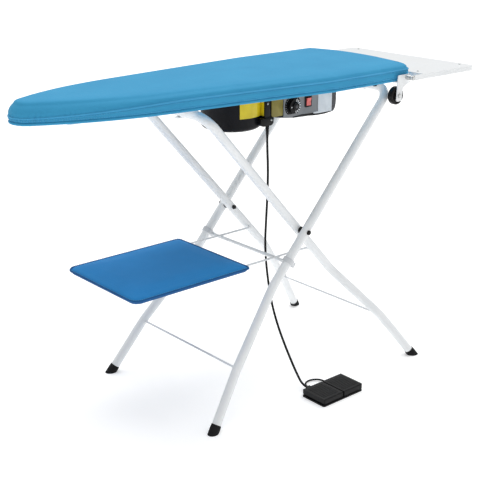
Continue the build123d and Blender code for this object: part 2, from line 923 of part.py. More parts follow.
def pivot_spacers():
    """Plastic spacer between the two tubes at each pivot, shaped to the outer tube."""
    low = inner_half_width + tube_radius + side_gap
    spacer = cylinder_y(spacer_diameter / 2, low, outer_half_width, 0, pivot_z)
    start = leg_point(1, outer_bend_z, outer_half_width)
    along = leg_point(1, crossbar_z, outer_half_width) - start
    spacer -= extrude(Plane(origin=start, z_dir=along.normalized()) * Circle(tube_radius), arm_length)
    spacer = spacer.solids().sort_by(Axis.Y)[0]
    return both_sides(spacer - cylinder_y(bolt_radius, low - 1, outer_half_width, 0, pivot_z))


def rest_bar():
    """Bar under the outer frame that the shelf's rods lie on."""
    reach = outer_half_width + collar_width / 2
    return cylinder_y(rest_bar_radius, -reach, reach, rest_bar_x, rest_bar_z)


def rest_bar_collars():
    """Collar round each outer leg with a lug that holds the end of the rest bar."""
    on_leg = leg_point(1, pivot_z - rest_bar_distance * sin(leg_angle), outer_half_width)
    up = Vector(cos(leg_angle), 0, sin(leg_angle))
    half = up * (collar_width / 2)
    ring = extrude(Plane(origin=on_leg - half, z_dir=up) * Circle(tube_radius + collar_wall), collar_width)
    bar_end = Vector(rest_bar_x, outer_half_width, rest_bar_z)
    section = Rectangle(collar_width, 2 * (rest_bar_radius + collar_lug_wall))
    lug = extrude(Plane(origin=bar_end - half, z_dir=up, x_dir=(0, 1, 0)) * section, collar_width)
    leg = extrude(Plane(origin=on_leg - up * collar_width, z_dir=up) * Circle(tube_radius), 2 * collar_width)
    return both_sides(ring + lug - leg - rest_bar())


def hinge_saddles():
    """Saddles that carry the outer frame's crossbar under the pan."""
    profile = at_point(Circle(tube_radius + saddle_wall), crossbar_x, crossbar_z)
    width = 2 * (tube_radius + saddle_wall)
    middle = (crossbar_z + pan_bottom_z) / 2
    profile += at_point(Rectangle(width, pan_bottom_z - crossbar_z), crossbar_x, middle)
    profile += at_point(Rectangle(2 * saddle_foot, saddle_wall), crossbar_x, pan_bottom_z - saddle_wall / 2)
    profile -= at_point(Circle(tube_radius + running_gap), crossbar_x, crossbar_z)
    return both_sides(between_y(profile, saddle_y - saddle_width / 2, saddle_y + saddle_width / 2))


def slide_strips():
    """Strips that the inner frame's crossbar slides along, each hooked round it at the tail end."""
    top = pan_bottom_z
    low = crossbar_z + tube_radius + strip_gap
    stop = -crossbar_x + tube_radius + strip_gap
    folded_x = crossbar_x - 2 * arm_length * cos(leg_angle - radians(fold_angle))
    nose_end = folded_x - tube_radius - strip_end_gap
    lip_z = crossbar_z - tube_radius - strip_gap
    profile = make_face(Polyline(
        (nose_end, top),
        (nose_end, low),
        (stop, low),
        (stop, lip_z),
        (stop - hook_lip, lip_z),
        (stop - hook_lip, lip_z - hook_wall),
        (stop + hook_wall, lip_z - hook_wall),
        (stop + hook_wall, top),
        close=True,
    ))
    return both_sides(between_y(profile, strip_y - strip_width / 2, strip_y + strip_width / 2))


# Shelf

def shelf_rod_path():
    """Centre line of the shelf's rod: hooked ends, long sides and the nose end."""
    x = shelf_pin_x
    y = shelf_rod_half_width
    hook = inner_half_width - tube_radius + shelf_rod_reach
    points = [
        (x, -hook, shelf_rod_z),
        (x, -y, shelf_rod_z),
        (shelf_rod_nose_x, -y, shelf_rod_z),
        (shelf_rod_nose_x, y, shelf_rod_z),
        (x, y, shelf_rod_z),
        (x, hook, shelf_rod_z),
    ]
    radii = [shelf_rod_hook, shelf_rod_corner, shelf_rod_corner, shelf_rod_hook]
    return FilletPolyline(*points, radius=radii)


def shelf_rods():
    """Bent rod of the shelf with one cross rod near the tail end of the pad."""
    rods = round_bar(shelf_rod_path(), shelf_rod_radius)
    cross_x = shelf_tail_x - shelf_cross_inset
    cross = cylinder_y(shelf_rod_radius, -shelf_rod_half_width, shelf_rod_half_width, cross_x, shelf_rod_z)
    return rods + cross


def shelf_section(z, inset):
    """One level of the shelf pad."""
    length = shelf_tail_x - shelf_nose_x - 2 * inset
    width = 2 * (shelf_half_width - inset)
    middle = (shelf_tail_x + shelf_nose_x) / 2
    return Pos(middle, 0, z) * RectangleRounded(length, width, shelf_corner)


def shelf_pad():
    """Padded shelf round the rods: crowned top, full sides drawn in at the bottom."""
    low = shelf_rod_z - shelf_below_rod
    high = shelf_rod_z + shelf_above_rod
    pad = loft([
        shelf_section(low, shelf_bottom_inset),
        shelf_section(low + shelf_side_round, 1),
        shelf_section(shelf_rod_z + shelf_side_round / 2, 0),
        shelf_section(high - 1, shelf_side_round + 1),
        shelf_section(high + 1, shelf_shoulder_inset),
        shelf_section(high + shelf_crown, shelf_crown_inset),
    ], ruled=True)
    return pad - shelf_rods()


# Iron rest

def iron_rest():
    """Folded sheet tray behind the tail with an arm along each side of the board."""
    low = tray_top_z - tray_depth
    tray = block(tray_front_x, tray_tail_x, -tray_half_width, tray_half_width, low, tray_top_z)
    tray = fillet(tray.edges().filter_by(Axis.Z).sort_by(Axis.X)[-2:], tray_corner)
    inner = block(tray_front_x + tray_sheet, tray_tail_x - tray_sheet, tray_sheet - tray_half_width,
                  tray_half_width - tray_sheet, low - 1, tray_top_z - tray_sheet)
    inner = fillet(inner.edges().filter_by(Axis.Z).sort_by(Axis.X)[-2:], tray_corner - tray_sheet)
    tray -= inner
    arm_end = tray_front_x + 1
    arm = Rectangle(arm_end - rest_hinge_x, tray_depth)
    arm = at_point(arm, (arm_end + rest_hinge_x) / 2, rest_hinge_z)
    arm += at_point(Circle(tray_depth / 2), rest_hinge_x, rest_hinge_z)
    arm -= at_point(Circle(rest_pin_diameter / 2 + running_gap), rest_hinge_x, rest_hinge_z)
    arms = both_sides(between_y(arm, tray_half_width - tray_sheet, tray_half_width))
    return tray + arms


def rest_bumps():
    """Small round rivets on the iron rest."""
    reach = 3 * rest_bump_radius
    y = tray_half_width - rest_bump_inset_y
    bumps = []
    for x in (tray_front_x + rest_bump_inset_x, tray_tail_x - rest_bump_inset_x):
        head = Pos(x, y, tray_top_z) * Sphere(rest_bump_radius)
        head &= block(x - reach, x + reach, y - reach, y + reach, tray_top_z, tray_top_z + reach)
        bumps += both_sides(head)
    return bumps


def rest_pins():
    """Pin of the iron rest's hinge on each side, with its head outside the arm."""
    inside = bracket_y - rest_pin_inside
    outside = tray_half_width + side_gap
    pin = cylinder_y(rest_pin_diameter / 2, inside, outside, rest_hinge_x, rest_hinge_z)
    head = cylinder_y(rest_pin_diameter, outside, outside + rest_pin_head, rest_hinge_x, rest_hinge_z)
    head = fillet(head.edges().filter_by(GeomType.CIRCLE).sort_by(Axis.Y)[-1], rest_pin_head / 2)
    return both_sides(pin + head)


def rest_spacers():
    """Tube between each bracket and the iron rest's arm."""
    low = bracket_y + bracket_sheet
    high = tray_half_width - tray_sheet - side_gap
    tube = cylinder_y(rest_spacer_radius, low, high, rest_hinge_x, rest_hinge_z)
    return both_sides(tube - cylinder_y(rest_pin_diameter / 2, low - 1, high + 1, rest_hinge_x, rest_hinge_z))


# Tail brackets and wheels

def tail_bracket():
    """Sheet bracket under the tail: upright plate outside the wheel and a foot under the pan."""
    front = bracket_front_x
    lower = front + bracket_lower_width
    plate = make_face(FilletPolyline(
        (front, bracket_bottom_z),
        (lower, bracket_bottom_z),
        (lower + bracket_lean, wheel_z + bracket_step_rise),
        (bracket_tail_x, wheel_z + bracket_tail_rise),
        (bracket_tail_x, bracket_top_z),
        (front + bracket_top_inset, bracket_top_z),
        radius=bracket_corner,
        close=True,
    ))
    outside = bracket_y + bracket_sheet
    bracket = between_y(plate, bracket_y, outside)
    bracket += block(front + bracket_top_inset, bracket_tail_x, bracket_y - bracket_foot, bracket_y + 1,
                     pan_bottom_z - bracket_sheet, pan_bottom_z)
    bracket -= cylinder_y(bolt_radius, bracket_y - 1, outside + 1, wheel_x, wheel_z)
    return bracket - cylinder_y(rest_pin_diameter / 2, bracket_y - 1, outside + 1, rest_hinge_x, rest_hinge_z)


def tail_brackets():
    """Both tail brackets."""
    return both_sides(tail_bracket())


def transport_wheel(side):
    """Wheel with a rounded tread, a sunk web and a hub."""
    half = wheel_width / 2
    radius = wheel_diameter / 2
    bore = bolt_radius + running_gap
    web = half - wheel_web_depth
    hub = wheel_hub_radius
    rim = radius - wheel_rim
    right = [(bore, half), (hub, half), (hub + 1, web), (rim - 1, web), (rim, half), (radius, half)]
    left = [(x, -y) for x, y in reversed(right)]
    rounds = [0, 1, 1, 1, 1, wheel_round]
    profile = make_face(FilletPolyline(*right, *left, radius=rounds + rounds[::-1], close=True))
    wheel = revolve(Plane.XZ * profile, Axis.Z)
    return Pos(wheel_x, side * (wheel_low_y + half), wheel_z) * Rot(90, 0, 0) * wheel


def wheel_axles():
    """Axle bolt of each wheel: head outside the bracket, shoulder, shank and push nut."""
    outside = bracket_y + bracket_sheet
    nut_low = wheel_low_y - side_gap - axle_nut_height
    shank = cylinder_y(bolt_radius, nut_low - axle_tip, outside, wheel_x, wheel_z)
    head = at_point(RegularPolygon(bolt_head_diameter / 2, 6), wheel_x, wheel_z)
    head = between_y(head, outside, outside + axle_head_height)
    shoulder_low = bracket_y - wheel_side_gap + side_gap
    shoulder = cylinder_y(axle_shoulder_radius, shoulder_low, bracket_y, wheel_x, wheel_z)
    nut = cylinder_y(axle_nut_radius, nut_low, wheel_low_y - side_gap, wheel_x, wheel_z)
    return both_sides(shank + head + shoulder + nut)


def cover_cleats():
    """Small moulded cleats under the rim that the cover's cord is tied to."""
    y = board_half_width - cleat_inset
    cleat = cylinder_z(cleat_radius, pan_bottom_z - cleat_height, pan_bottom_z, cleat_x, y)
    cleat = fillet(cleat.edges().filter_by(GeomType.CIRCLE).sort_by(Axis.Z)[0], cleat_round)
    return both_sides(cleat)


def unit_screws():
    """Visible screws: the cord post's and one at each end of the grey panel."""
    places = [
        (cord_exit_x, face_y - post_depth, post_screw_z),
        (panel_front_x + panel_screw_inset, panel_y, panel_screw_z),
        (box_tail_x - panel_screw_inset, panel_y, panel_screw_z),
    ]
    screws = []
    for x, y, z in places:
        head = cylinder_y(screw_radius, y - screw_height, y, x, z)
        screws.append(fillet(head.edges().filter_by(GeomType.CIRCLE).sort_by(Axis.Y)[0], screw_round))
    return screws


# Foot pedals

def pedal_ends(index):
    """Low and high X of one pedal pad."""
    if index == 0:
        return pedal_left_x + pedal_side_gap, pedal_middle_x - pedal_gap / 2
    return pedal_middle_x + pedal_gap / 2, pedal_right_x - pedal_side_gap


def cord_entry(x, z):
    """Raised entry for a cord behind the pedals, with a low tongue that joins it to the base."""
    left = x - grommet_width / 2
    right = x + grommet_width / 2
    back = pedal_back_y + grommet_depth
    tongue = block(left, right, pedal_back_y - 1, back, 0, pedal_base_height)
    return tongue + block(left, right, pedal_back_y + grommet_gap, back, 0, z + grommet_wall)


def pedal_base():
    """Base plate of the double pedal with lugs for the pins and the cord entries at the back."""
    base = block(pedal_left_x, pedal_right_x, pedal_front_y, pedal_back_y, 0, pedal_base_height)
    base = fillet(base.edges().filter_by(Axis.Z), base_corner)
    base += cord_entry(cord_port_x, cord_port_z)
    base += cord_entry(link_port_x, link_port_z)
    base += cord_entry(link_far_x, link_port_z)
    lug_low = pedal_pin_y - lug_half_depth
    lug_high = pedal_pin_y + lug_half_depth
    for index in range(2):
        low, high = pedal_ends(index)
        inset = pedal_wall + side_gap
        for x in (low + inset, high - inset - lug_width):
            base += block(x, x + lug_width, lug_low, lug_high, 0, pedal_pin_z + lug_width)
    return base - pedal_pin_bars(pedal_pin_diameter / 2)


def pedal_pin_bars(radius):
    """Round bars in the places of the pedal pins."""
    bars = []
    for index in range(2):
        low, high = pedal_ends(index)
        bar = Rot(0, 90, 0) * Cylinder(radius, high - low - 2)
        bars.append(Pos((low + high) / 2, pedal_pin_y, pedal_pin_z) * bar)
    return bars


def pedal_pins():
    """Hinge pins of both pedals."""
    return pedal_pin_bars(pedal_pin_diameter / 2)


def pedal_pad(index):
    """One pedal: a hollow moulding with grip ribs, open below, on its pin."""
    low, high = pedal_ends(index)
    pad = block(low, high, pedal_front_y, pedal_back_y, pedal_bottom_z, pedal_top_z)
    pad = chamfer(pad.edges().filter_by(Axis.X).sort_by(Axis.Z)[-2:], pedal_top_edge)
    pad = fillet(pad.edges().filter_by(Axis.Z), pedal_edge)
    pad -= block(low + pedal_wall, high - pedal_wall, pedal_front_y + pedal_wall, pedal_back_y - pedal_wall,
                 pedal_bottom_z - 1, pedal_top_z - pedal_wall)
    pitch = (pedal_back_y - pedal_front_y - 2 * pedal_rib_start + pedal_wall) / pedal_ribs
    for rib in range(pedal_ribs):
        y = pedal_front_y + pedal_rib_start + pitch * rib
        pad += block(low + pedal_rib_inset, high - pedal_rib_inset, y, y + pitch * 0.4,
                     pedal_top_z - pedal_rib_height, pedal_top_z + pedal_rib_height)
    return pad - pedal_pin_bars(pedal_pin_diameter / 2 + running_gap)


def pedal_switches():
    """Small switch under the front of each pedal; at full travel the pedal almost meets its button."""
    y = (pedal_front_y + pedal_back_y) / 2 - switch_offset_y
    case_top = pedal_base_height + switch_case_height
    pedal_drop = (pedal_pin_y - y) * sin(radians(pedal_travel))
    button_top = pedal_top_z - pedal_wall - pedal_drop - pedal_button_gap
    switches = []
    for index in range(2):
        low, high = pedal_ends(index)
        x = (low + high) / 2
        left = x - switch_case_half_x
        right = x + switch_case_half_x
        front = y - switch_case_half_y
        back = y + switch_case_half_y
        case = block(left, right, front, back, pedal_base_height, case_top)
        switches.append(case + cylinder_z(switch_button_radius, case_top, button_top, x, y))
    return switches


# Assembly

nodes = {
    "base_pan": base_pan(),
    "plate_supports": plate_supports(),
    "heater_element": heater_element(),
    "perforated_plate": perforated_plate(),
    "felt_pad": felt_pad(),
    "board_cover": board_cover(),
    "fan_housing": fan_housing(),
    "inlet_plate": inlet_plate(),
    "fan_impeller": fan_impeller(),
    "motor_body": motor_body(),
    "motor_shaft": motor_shaft(),
    "control_box": control_box(),
    "mains_gland": mains_gland(),
    "end_cap": end_cap(),
    "control_panel": control_panel(),
    "dial_ring": dial_ring(),
    "thermostat_body": thermostat_body(),
    "thermostat_shaft": thermostat_shaft(),
    "thermostat_knob": thermostat_knob(),
    "switch_body": switch_body(),
    "rocker_switch": rocker_switch(),
    "yellow_plate": bare_plate(yellow_plate_x, yellow_plate_z, yellow_plate_size, face_y),
    "small_plate": bare_plate(small_plate_x, small_plate_z, small_plate_size, face_y),
    "white_plate": bare_plate(white_plate_x, white_plate_z, white_plate_size, panel_y),
    "cord_post": cord_post(),
    "cord_gland": cord_gland(),
    "pedal_cord": free_cord("pedal cord", pedal_cord_route, cord_diameter),
    "link_cord": free_cord("link cord", link_cord_route, link_cord_diameter),
    "outer_frame": outer_frame(),
    "outer_tie_bar": tie_bar(1, outer_path()),
    "outer_foot_caps": foot_caps(1, outer_foot_y),
    "pivot_bolts": pivot_bolts(),
    "pivot_spacers": pivot_spacers(),
    "rest_bar": rest_bar(),
    "rest_bar_collars": rest_bar_collars(),
    "inner_frame": inner_frame(),
    "inner_tie_bar": tie_bar(-1, inner_path()),
    "inner_foot_caps": foot_caps(-1, inner_foot_y),
    "hinge_saddles": hinge_saddles(),
    "slide_strips": slide_strips(),
    "shelf_rods": shelf_rods(),
    "shelf_pad": shelf_pad(),
    "iron_rest": iron_rest(),
    "rest_bumps": rest_bumps(),
    "rest_pins": rest_pins(),
    "rest_spacers": rest_spacers(),
    "tail_brackets": tail_brackets(),
    "near_wheel": transport_wheel(-1),
    "far_wheel": transport_wheel(1),
    "wheel_axles": wheel_axles(),
    "cover_cleats": cover_cleats(),
    "unit_screws": unit_screws(),
    "pedal_base": pedal_base(),
    "pedal_pins": pedal_pins(),
    "left_pedal": pedal_pad(0),
    "right_pedal": pedal_pad(1),
    "pedal_switches": pedal_switches(),
}


def export_node(name, shape):
    """Move one node to the footprint's middle and write it."""
    solids = []
    for item in (shape if isinstance(shape, list) else [shape]):
        solids += item.solids()
    moved = [Pos(-footprint_x, -footprint_y, 0) * solid for solid in solids]
    export_step(Compound(children=moved) if len(moved) > 1 else moved[0], f"parts/{name}.step")


os.makedirs("parts", exist_ok=True)
for name, shape in nodes.items():
    export_node(name, shape)
print(f"origin over table X {footprint_x:.2f} Y {footprint_y:.2f}; shelf pin X {shelf_pin_x:.2f}")
print(f"pin distance {pin_distance:.2f}; bar distance {rest_bar_distance:.2f}")
print(f"leg angle {degrees(leg_angle):.2f}")
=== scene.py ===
import json
from math import atan2, cos, exp, pi, radians, sin

import bmesh
import bpy
from mathutils import Matrix, Vector
from mathutils.kdtree import KDTree


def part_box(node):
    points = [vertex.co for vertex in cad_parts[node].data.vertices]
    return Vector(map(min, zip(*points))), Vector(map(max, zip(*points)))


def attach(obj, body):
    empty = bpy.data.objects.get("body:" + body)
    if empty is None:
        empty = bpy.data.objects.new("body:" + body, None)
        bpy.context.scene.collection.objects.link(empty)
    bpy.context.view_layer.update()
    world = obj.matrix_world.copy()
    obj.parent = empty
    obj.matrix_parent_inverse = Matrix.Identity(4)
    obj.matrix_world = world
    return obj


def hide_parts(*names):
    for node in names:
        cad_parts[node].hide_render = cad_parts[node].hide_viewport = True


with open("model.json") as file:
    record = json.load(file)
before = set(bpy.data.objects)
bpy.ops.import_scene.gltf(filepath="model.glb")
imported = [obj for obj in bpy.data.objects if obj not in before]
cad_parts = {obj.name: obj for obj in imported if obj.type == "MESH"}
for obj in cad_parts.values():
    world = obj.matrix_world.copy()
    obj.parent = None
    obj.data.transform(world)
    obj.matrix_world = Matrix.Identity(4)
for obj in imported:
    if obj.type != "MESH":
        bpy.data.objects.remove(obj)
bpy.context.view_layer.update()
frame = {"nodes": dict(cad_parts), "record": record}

# Looks of a folding vacuum ironing table: padded cover, powder-coated scissor legs,
# black suction unit with its control panel, padded shelf, iron rest and foot pedals.
# The nose of the board points to -X. The camera, the room, the cords and the values with MM are
# in metres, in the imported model's frame. All other lengths are plain millimetres, and their
# places are in the table's own axes, with the origin on the floor below the pivot's middle:
# table_place puts them into this frame.

MM = 0.001

# Directions that several pieces share, and the edge angle above which a form is creased
down = Vector((0, 0, -1))
front = Vector((0, -1, 0))
sharp_angle = radians(40)

# A turned form is a list of rows of radius, height and perhaps the depth of its flutes, in
# millimetres. Its ends have a small flat of this radius in the middle.
core = 0.5

# Camera and room
camera_place = (-1.7473, -2.0137, 1.3206)
camera_down = 18.972
camera_turn = 40.512
camera_roll = 0.10
camera_lens = 76.32
sensor_width = 36
floor_drop = 0.0004
floor_half = 14
room_light = 0.42
sun_strength = 2.5
sun_spread = 75
sun_from = (0.35, 0.15, 1.0)
paper_glow = 0.34

# Cords, with the control points of their routes
pedal_cord_diameter = 6.5 * MM
pedal_cord_route = [
    (-0.0065, -0.0840, 0.7370),
    (-0.0065, -0.0840, 0.6900),
    (0.0005, -0.0800, 0.6330),
    (0.0075, -0.0720, 0.5750),
    (0.0150, -0.0610, 0.5170),
    (0.0245, -0.0470, 0.4610),
    (0.0355, -0.0320, 0.4070),
    (0.0450, -0.0235, 0.3540),
    (0.0500, -0.0250, 0.3020),
    (0.0495, -0.0360, 0.2520),
    (0.0465, -0.0540, 0.2050),
    (0.0435, -0.0780, 0.1610),
    (0.0440, -0.1060, 0.1130),
    (0.0465, -0.1430, 0.0545),
    (0.0475, -0.1675, 0.0232),
    (0.0475, -0.1743, 0.0177),
    (0.0475, -0.1821, 0.0139),
    (0.0475, -0.1905, 0.0120),
    (0.0475, -0.1990, 0.0120),
]
link_cord_diameter = 5 * MM
link_cord_route = [
    (0.0595, -0.1990, 0.0045),
    (0.0595, -0.1830, 0.0045),
    (0.0675, -0.1690, 0.0040),
    (0.0815, -0.1610, 0.0035),
    (0.0975, -0.1610, 0.0035),
    (0.1115, -0.1690, 0.0040),
    (0.1195, -0.1830, 0.0045),
    (0.1195, -0.1990, 0.0045),
]

# Board cover
cover_low, cover_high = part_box("board_cover")
middle_y = (cover_low.y + cover_high.y) / 2
board_half_width = (cover_high.y - cover_low.y) / 2
nose_radius = 50 * MM
tail_corner = 28 * MM
taper_start = cover_low.x + 820 * MM
taper_end = cover_low.x + 330 * MM
taper_draw_in = 61 * MM
pivot_x = cover_low.x + 760 * MM
hem_z = cover_low.z
pan_low_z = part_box("base_pan")[0].z
plate_top_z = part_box("perforated_plate")[1].z
cover_wall = 5.1 * MM
cover_voxel = 6 * MM
cover_cap = 3 * MM
cover_shrink = 1 * MM
cover_smoothing = 3
cover_held_below = 0.25
cover_loose_above = 0.875
cover_least_hold = 0.2
fill_inset = 3 * MM
fill_above_hem = 0.5 * MM
fill_above_plate = 6 * MM
pocket_drop = 9 * MM
outline_step = 6 * MM

# Padding that is blown up: its pressure, how far it may sink in, and the frames that it takes
padding_pressure = 4
inward_cap = 0.3 * MM
settle_frames = 20

# Shoulder: the padding is drawn in and down from the seam to the board's upper edge
shoulder_inset = 11 * MM
shoulder_reach = 46 * MM
shoulder_drop = 3 * MM
shoulder_top = hem_z + 45 * MM
shoulder_curve = 2.2

# Seam round the cover's side: a crease with a corded ridge below it, puckered at the nose
seam_nose_z = hem_z + 15 * MM
seam_tail_z = hem_z + 28 * MM
seam_rise_length = 420 * MM
crease_depth = 2.4 * MM
crease_width = 4 * MM
crease_above = 4.5 * MM
nose_easing = 0.6
side_reach = 4 * crease_width
side_facing = 0.1
pucker_depth = 1.0 * MM
pucker_pitch = 13 * MM
pucker_reach = 9 * MM
pucker_length = 240 * MM
piping_radius = 2 * MM
piping_proud = 0.9 * MM
piping_pucker = 0.6 * pucker_depth

# Hem: a rolled edge round the side, drawn in under the pan by a cord in its channel
hem_roll = 3.8 * MM
hem_roll_rise = 2.2 * MM
hem_roll_turns = range(110, -110, -20)
hem_reach = 38 * MM
hem_under = 1.3 * MM
hem_cloth = 1.1 * MM
hem_gap = 0.6 * MM
hem_fold = 12 * MM
hem_bend_length = 60 * MM
hem_channel_radius = 3 * MM
hem_ruffle = 1.3 * MM
hem_ruffle_pitch = 17 * MM
hem_straight_share = 0.25
hem_swell = 0.07
hem_swell_beat = 1.7

# Stitches
stitch_size = (4.0, 0.9, 0.9)
stitch_unevenness = 0.12
stitch_pitch = 6 * MM
stitch_proud = 0.1 * MM
stitch_drop = 4 * MM
hem_stitch_rise = 9 * MM
shelf_stitch_rise = 3.6 * MM
shelf_stitch_inset = 1.6 * MM

# Shelf pad: its corners, and its levels as height, inset and size about the middle
shelf_low = (-552, -156, 366)
shelf_high = (-180, 156, 391.5)
shelf_levels = ((369, 8, 1), (372, 2.5, 1), (378, 0, 1), (383.5, 0.5, 1), (387.5, 3, 1),
                (390.3, 7, 1), (391.8, 10, 0.93), (393, 10, 0.6))
shelf_voxel = 4.5 * MM
shelf_cap = 5 * MM
shelf_shrink = 2 * MM
shelf_smoothing = 8
shelf_held_band = 3 * MM
shelf_hold = 0.5
shelf_nose_corner = 28 * MM
shelf_tail_corner = 12 * MM
shelf_piping_radius = 2.9 * MM
shelf_piping_proud = 1.2 * MM
shelf_piping_below_top = 8.5 * MM

# Suction unit: a round fan drum with a duct to the control box. The drum's rim has a groove
# below its top, its lower edge is round, and a shallow well is sunk into its underside.
drum_middle = (-136, -25)
drum_radius = 80
drum_sides = 72
drum_low_z = 730.5
drum_top_z = 818
drum_rim = ((80, 0), (80, 3), (78.8, 3.6), (78.8, 5), (80, 5.6))
drum_edge = (24, 14)
drum_well = ((44, 0), (42.4, 2), (core, 2))
flange_reach = 4
flange_edge = 0.6
duct_low = (-136, -85, 741)
duct_high = (-64, 55, 818)
duct_bevel = 4
louvre_size = (88, 3.5, 1.2)
louvre_inset = 16
louvre_pitch = 9
louvre_count = 4
fan_axis = (-165, 0)
fan_top_z = 812
fan_profile = ((core, 0), (37, 0), (37, 1.2), (37, 1.5, 5), (37, 18.5, 5), (37, 18.8), (37, 20), (core, 20))
fan_sides = 120
fan_blades = 24
motor_top_z = 790
motor_profile = ((core, 0), (30, 0), (33, 3), (33, 35), (30, 38), (core, 38))
motor_sides = 40

# Lead post with its foot, the unit's screws with dark bars on their heads painted as the shade in their cross
# recesses, and the ribbed boot of the lead.
# A rib is a list of shares of its pitch and the groove's depth there.
post_low = (-94, -111, 745)
post_high = (-74, -80, 812)
post_bevel = 2.5
foot_middle = (-87.5, 752)
foot_size = (45, 22)
foot_depth = (-114, -80)
foot_corner = 12
foot_upper_corner = 3
foot_bevel = 1.5
screw_places = ((-84, -111, 799), (-74, -114, 756), (-18, -107.5, 808), (144, -107.5, 808))
screw_size = (6.6, 6.6, 3.8)
recess_shade_size = (2.7, 0.7, 0.14)
recess_shade_height = 0.47 * screw_size[2]
recess_shade_tilt = 17
recess_shade_turn = 31
boot_length = 28
boot_overlap = 8
boot_top_radius = 5.2
boot_low_radius = 4.0
boot_ribs = 6
boot_rib = ((0.0, 0), (0.55, 0), (0.65, 0.7), (0.9, 0.7))

# Bare labels, and the box's belly and tail end, with outlines of (x, z)
label_thickness = 0.8
label_sunk = 0.2
label_corner = 2
label_bevel = 0.2
yellow_turns = (246, 303)
yellow_steps = 20
yellow_low_z = 768
yellow_high_z = 811
flap_low = (-94.7, -107, yellow_low_z)
flap_high = (-93.9, -91, yellow_high_z)
small_middle = (-46.5, 783)
small_size = (40, 46)
small_depth = (-106, -104.8)
white_outline = ((153, 801), (101, 801), (101, 754), (84, 754.5), (84, 750.5), (101, 749), (153, 749))
white_depth = (-108.6, -107.6)
belly_curve = ((36, 750), (61, 747), (83, 745), (104, 744), (127, 744), (153, 746.6))
belly_outline = belly_curve + ((153, 762), (36, 758))
belly_depth = (-107.3, 104)
belly_bevel = 0.6
band_outline = ((8, 748.4),) + belly_curve + ((153, 750), (100, 751), (82, 752.5), (40, 754), (8, 752))
band_depth = (-107.9, -107.2)
end_outline = ((151, 746.6), (155, 746.2), (160, 747.5), (165, 751.5), (168.5, 758), (170.5, 768),
               (171, 777), (171, 824), (151, 824))
end_depth = (-107.5, 105)
end_bevel = 1.2

# Foot caps: where each leg's line meets the floor and where it bends, on its near side. A cap
# starts below the floor and is cut off there.
foot_lines = {
    "outer_legs": ((-377, -235, 0), (-275.1, -210, 142)),
    "inner_legs": ((377, -256, 0), (275.1, -210, 142)),
}
cap_below = 24
cap_profile = ((core, 0), (14, 0), (14, 40), (13.5, 40.6), (13.5, 45.8), (12.8, 47), (core, 47))

# Knob and dial, with turns in degrees from the table's tail, upwards
knob_axis = (7, 782)
knob_back_y = -108.5
knob_profile = ((core, 0), (18.4, 0), (19, 0.6), (19, 9.2), (18.2, 10), (11.6, 10), (11, 10.6, 1),
                (11, 14, 1), (9.6, 15), (core, 15))
knob_disc = 10
knob_height = 15
knob_sides = 96
knob_flutes = 16
knob_mark_radius = 15.6
knob_mark_size = (6.4, 2.5, 0.3)
knob_mark_turns = (72, 50, 28, 6, -16, -38, -60, -82)
knob_near_mark = (11.5, 188)
knob_cap_profile = ((4.6, 0), (4.6, 0.66), (3.91, 1.045), (0.3, 1.1))
dial_mark_radius = 24.6
dial_mark_size = (2.6, 0.6, 0.16)
dial_mark_count = 19
dial_mark_start = 220
dial_mark_sweep = 260

# Welds: rings round the tie bars, with the fullness of the bead as a share of the ring's radius
weld_size = (4.2, 4.2, 1.5)
weld_fullness = 0.36
weld_stand_off = 0.6 * MM
weld_unevenness = 0.06

# Seed of the repeated details' unevenness
repeat_seed = 7

# Cloth: its slow fading, about 111 mm across as handling and steam leave it, and slubs of 2.4 mm
fading_scale = 9.0
slub_scale = 420.0


def srgb(text):
    """Linear colour of an sRGB hex value."""
    values = [int(text[place:place + 2], 16) / 255 for place in (1, 3, 5)]
    return tuple(v / 12.92 if v <= 0.04045 else ((v + 0.055) / 1.055) ** 2.4 for v in values) + (1.0,)


def add(tree, kind, inputs=None, **settings):
    """One node with its settings, and its sockets set or linked."""
    node = tree.nodes.new(kind)
    for name, value in settings.items():
        setattr(node, name, value)
    for name, value in (inputs or {}).items():
        if isinstance(value, bpy.types.NodeSocket):
            tree.links.new(value, node.inputs[name])
        else:
            node.inputs[name].default_value = value
    return node


def new_object(name, data):
    """Object in the scene, at the origin and unturned."""
    thing = bpy.data.objects.new(name, data)
    bpy.context.scene.collection.objects.link(thing)
    return thing


# Camera, floor and light

def make_camera():
    """Camera at the photograph's angle and distance."""
    data = bpy.data.cameras.new("camera")
    data.lens = camera_lens
    data.sensor_width = sensor_width
    camera = new_object("camera", data)
    camera.location = camera_place
    camera.rotation_euler = (radians(90 - camera_down), radians(camera_roll), -radians(camera_turn))
    bpy.context.scene.camera = camera


def make_room():
    """White paper floor, even pale surroundings and one broad soft light from above."""
    mesh = bpy.data.meshes.new("floor")
    signs = ((-1, -1), (1, -1), (1, 1), (-1, 1))
    corners = [(x * floor_half, y * floor_half, -floor_drop) for x, y in signs]
    mesh.from_pydata(corners, [], [(0, 1, 2, 3)])
    floor = new_object("floor", mesh)
    paper = new_finish("studio_paper", {
        "Base Color": srgb("#efefef"), "Roughness": 0.9, "Specular IOR Level": 0.0,
        "Emission Color": srgb("#ffffff"), "Emission Strength": paper_glow,
    })[0]
    mesh.materials.append(paper)
    world = bpy.data.worlds.new("studio")
    world.use_nodes = True
    background = world.node_tree.nodes["Background"]
    background.inputs["Color"].default_value = srgb("#ffffff")
    background.inputs["Strength"].default_value = room_light
    bpy.context.scene.world = world
    bpy.context.scene.view_settings.view_transform = "Standard"
    data = bpy.data.lights.new("ceiling_light", "SUN")
    data.energy = sun_strength
    data.angle = radians(sun_spread)
    light = new_object("ceiling_light", data)
    light.rotation_euler = Vector(sun_from).to_track_quat("Z", "Y").to_euler()


# Finishes

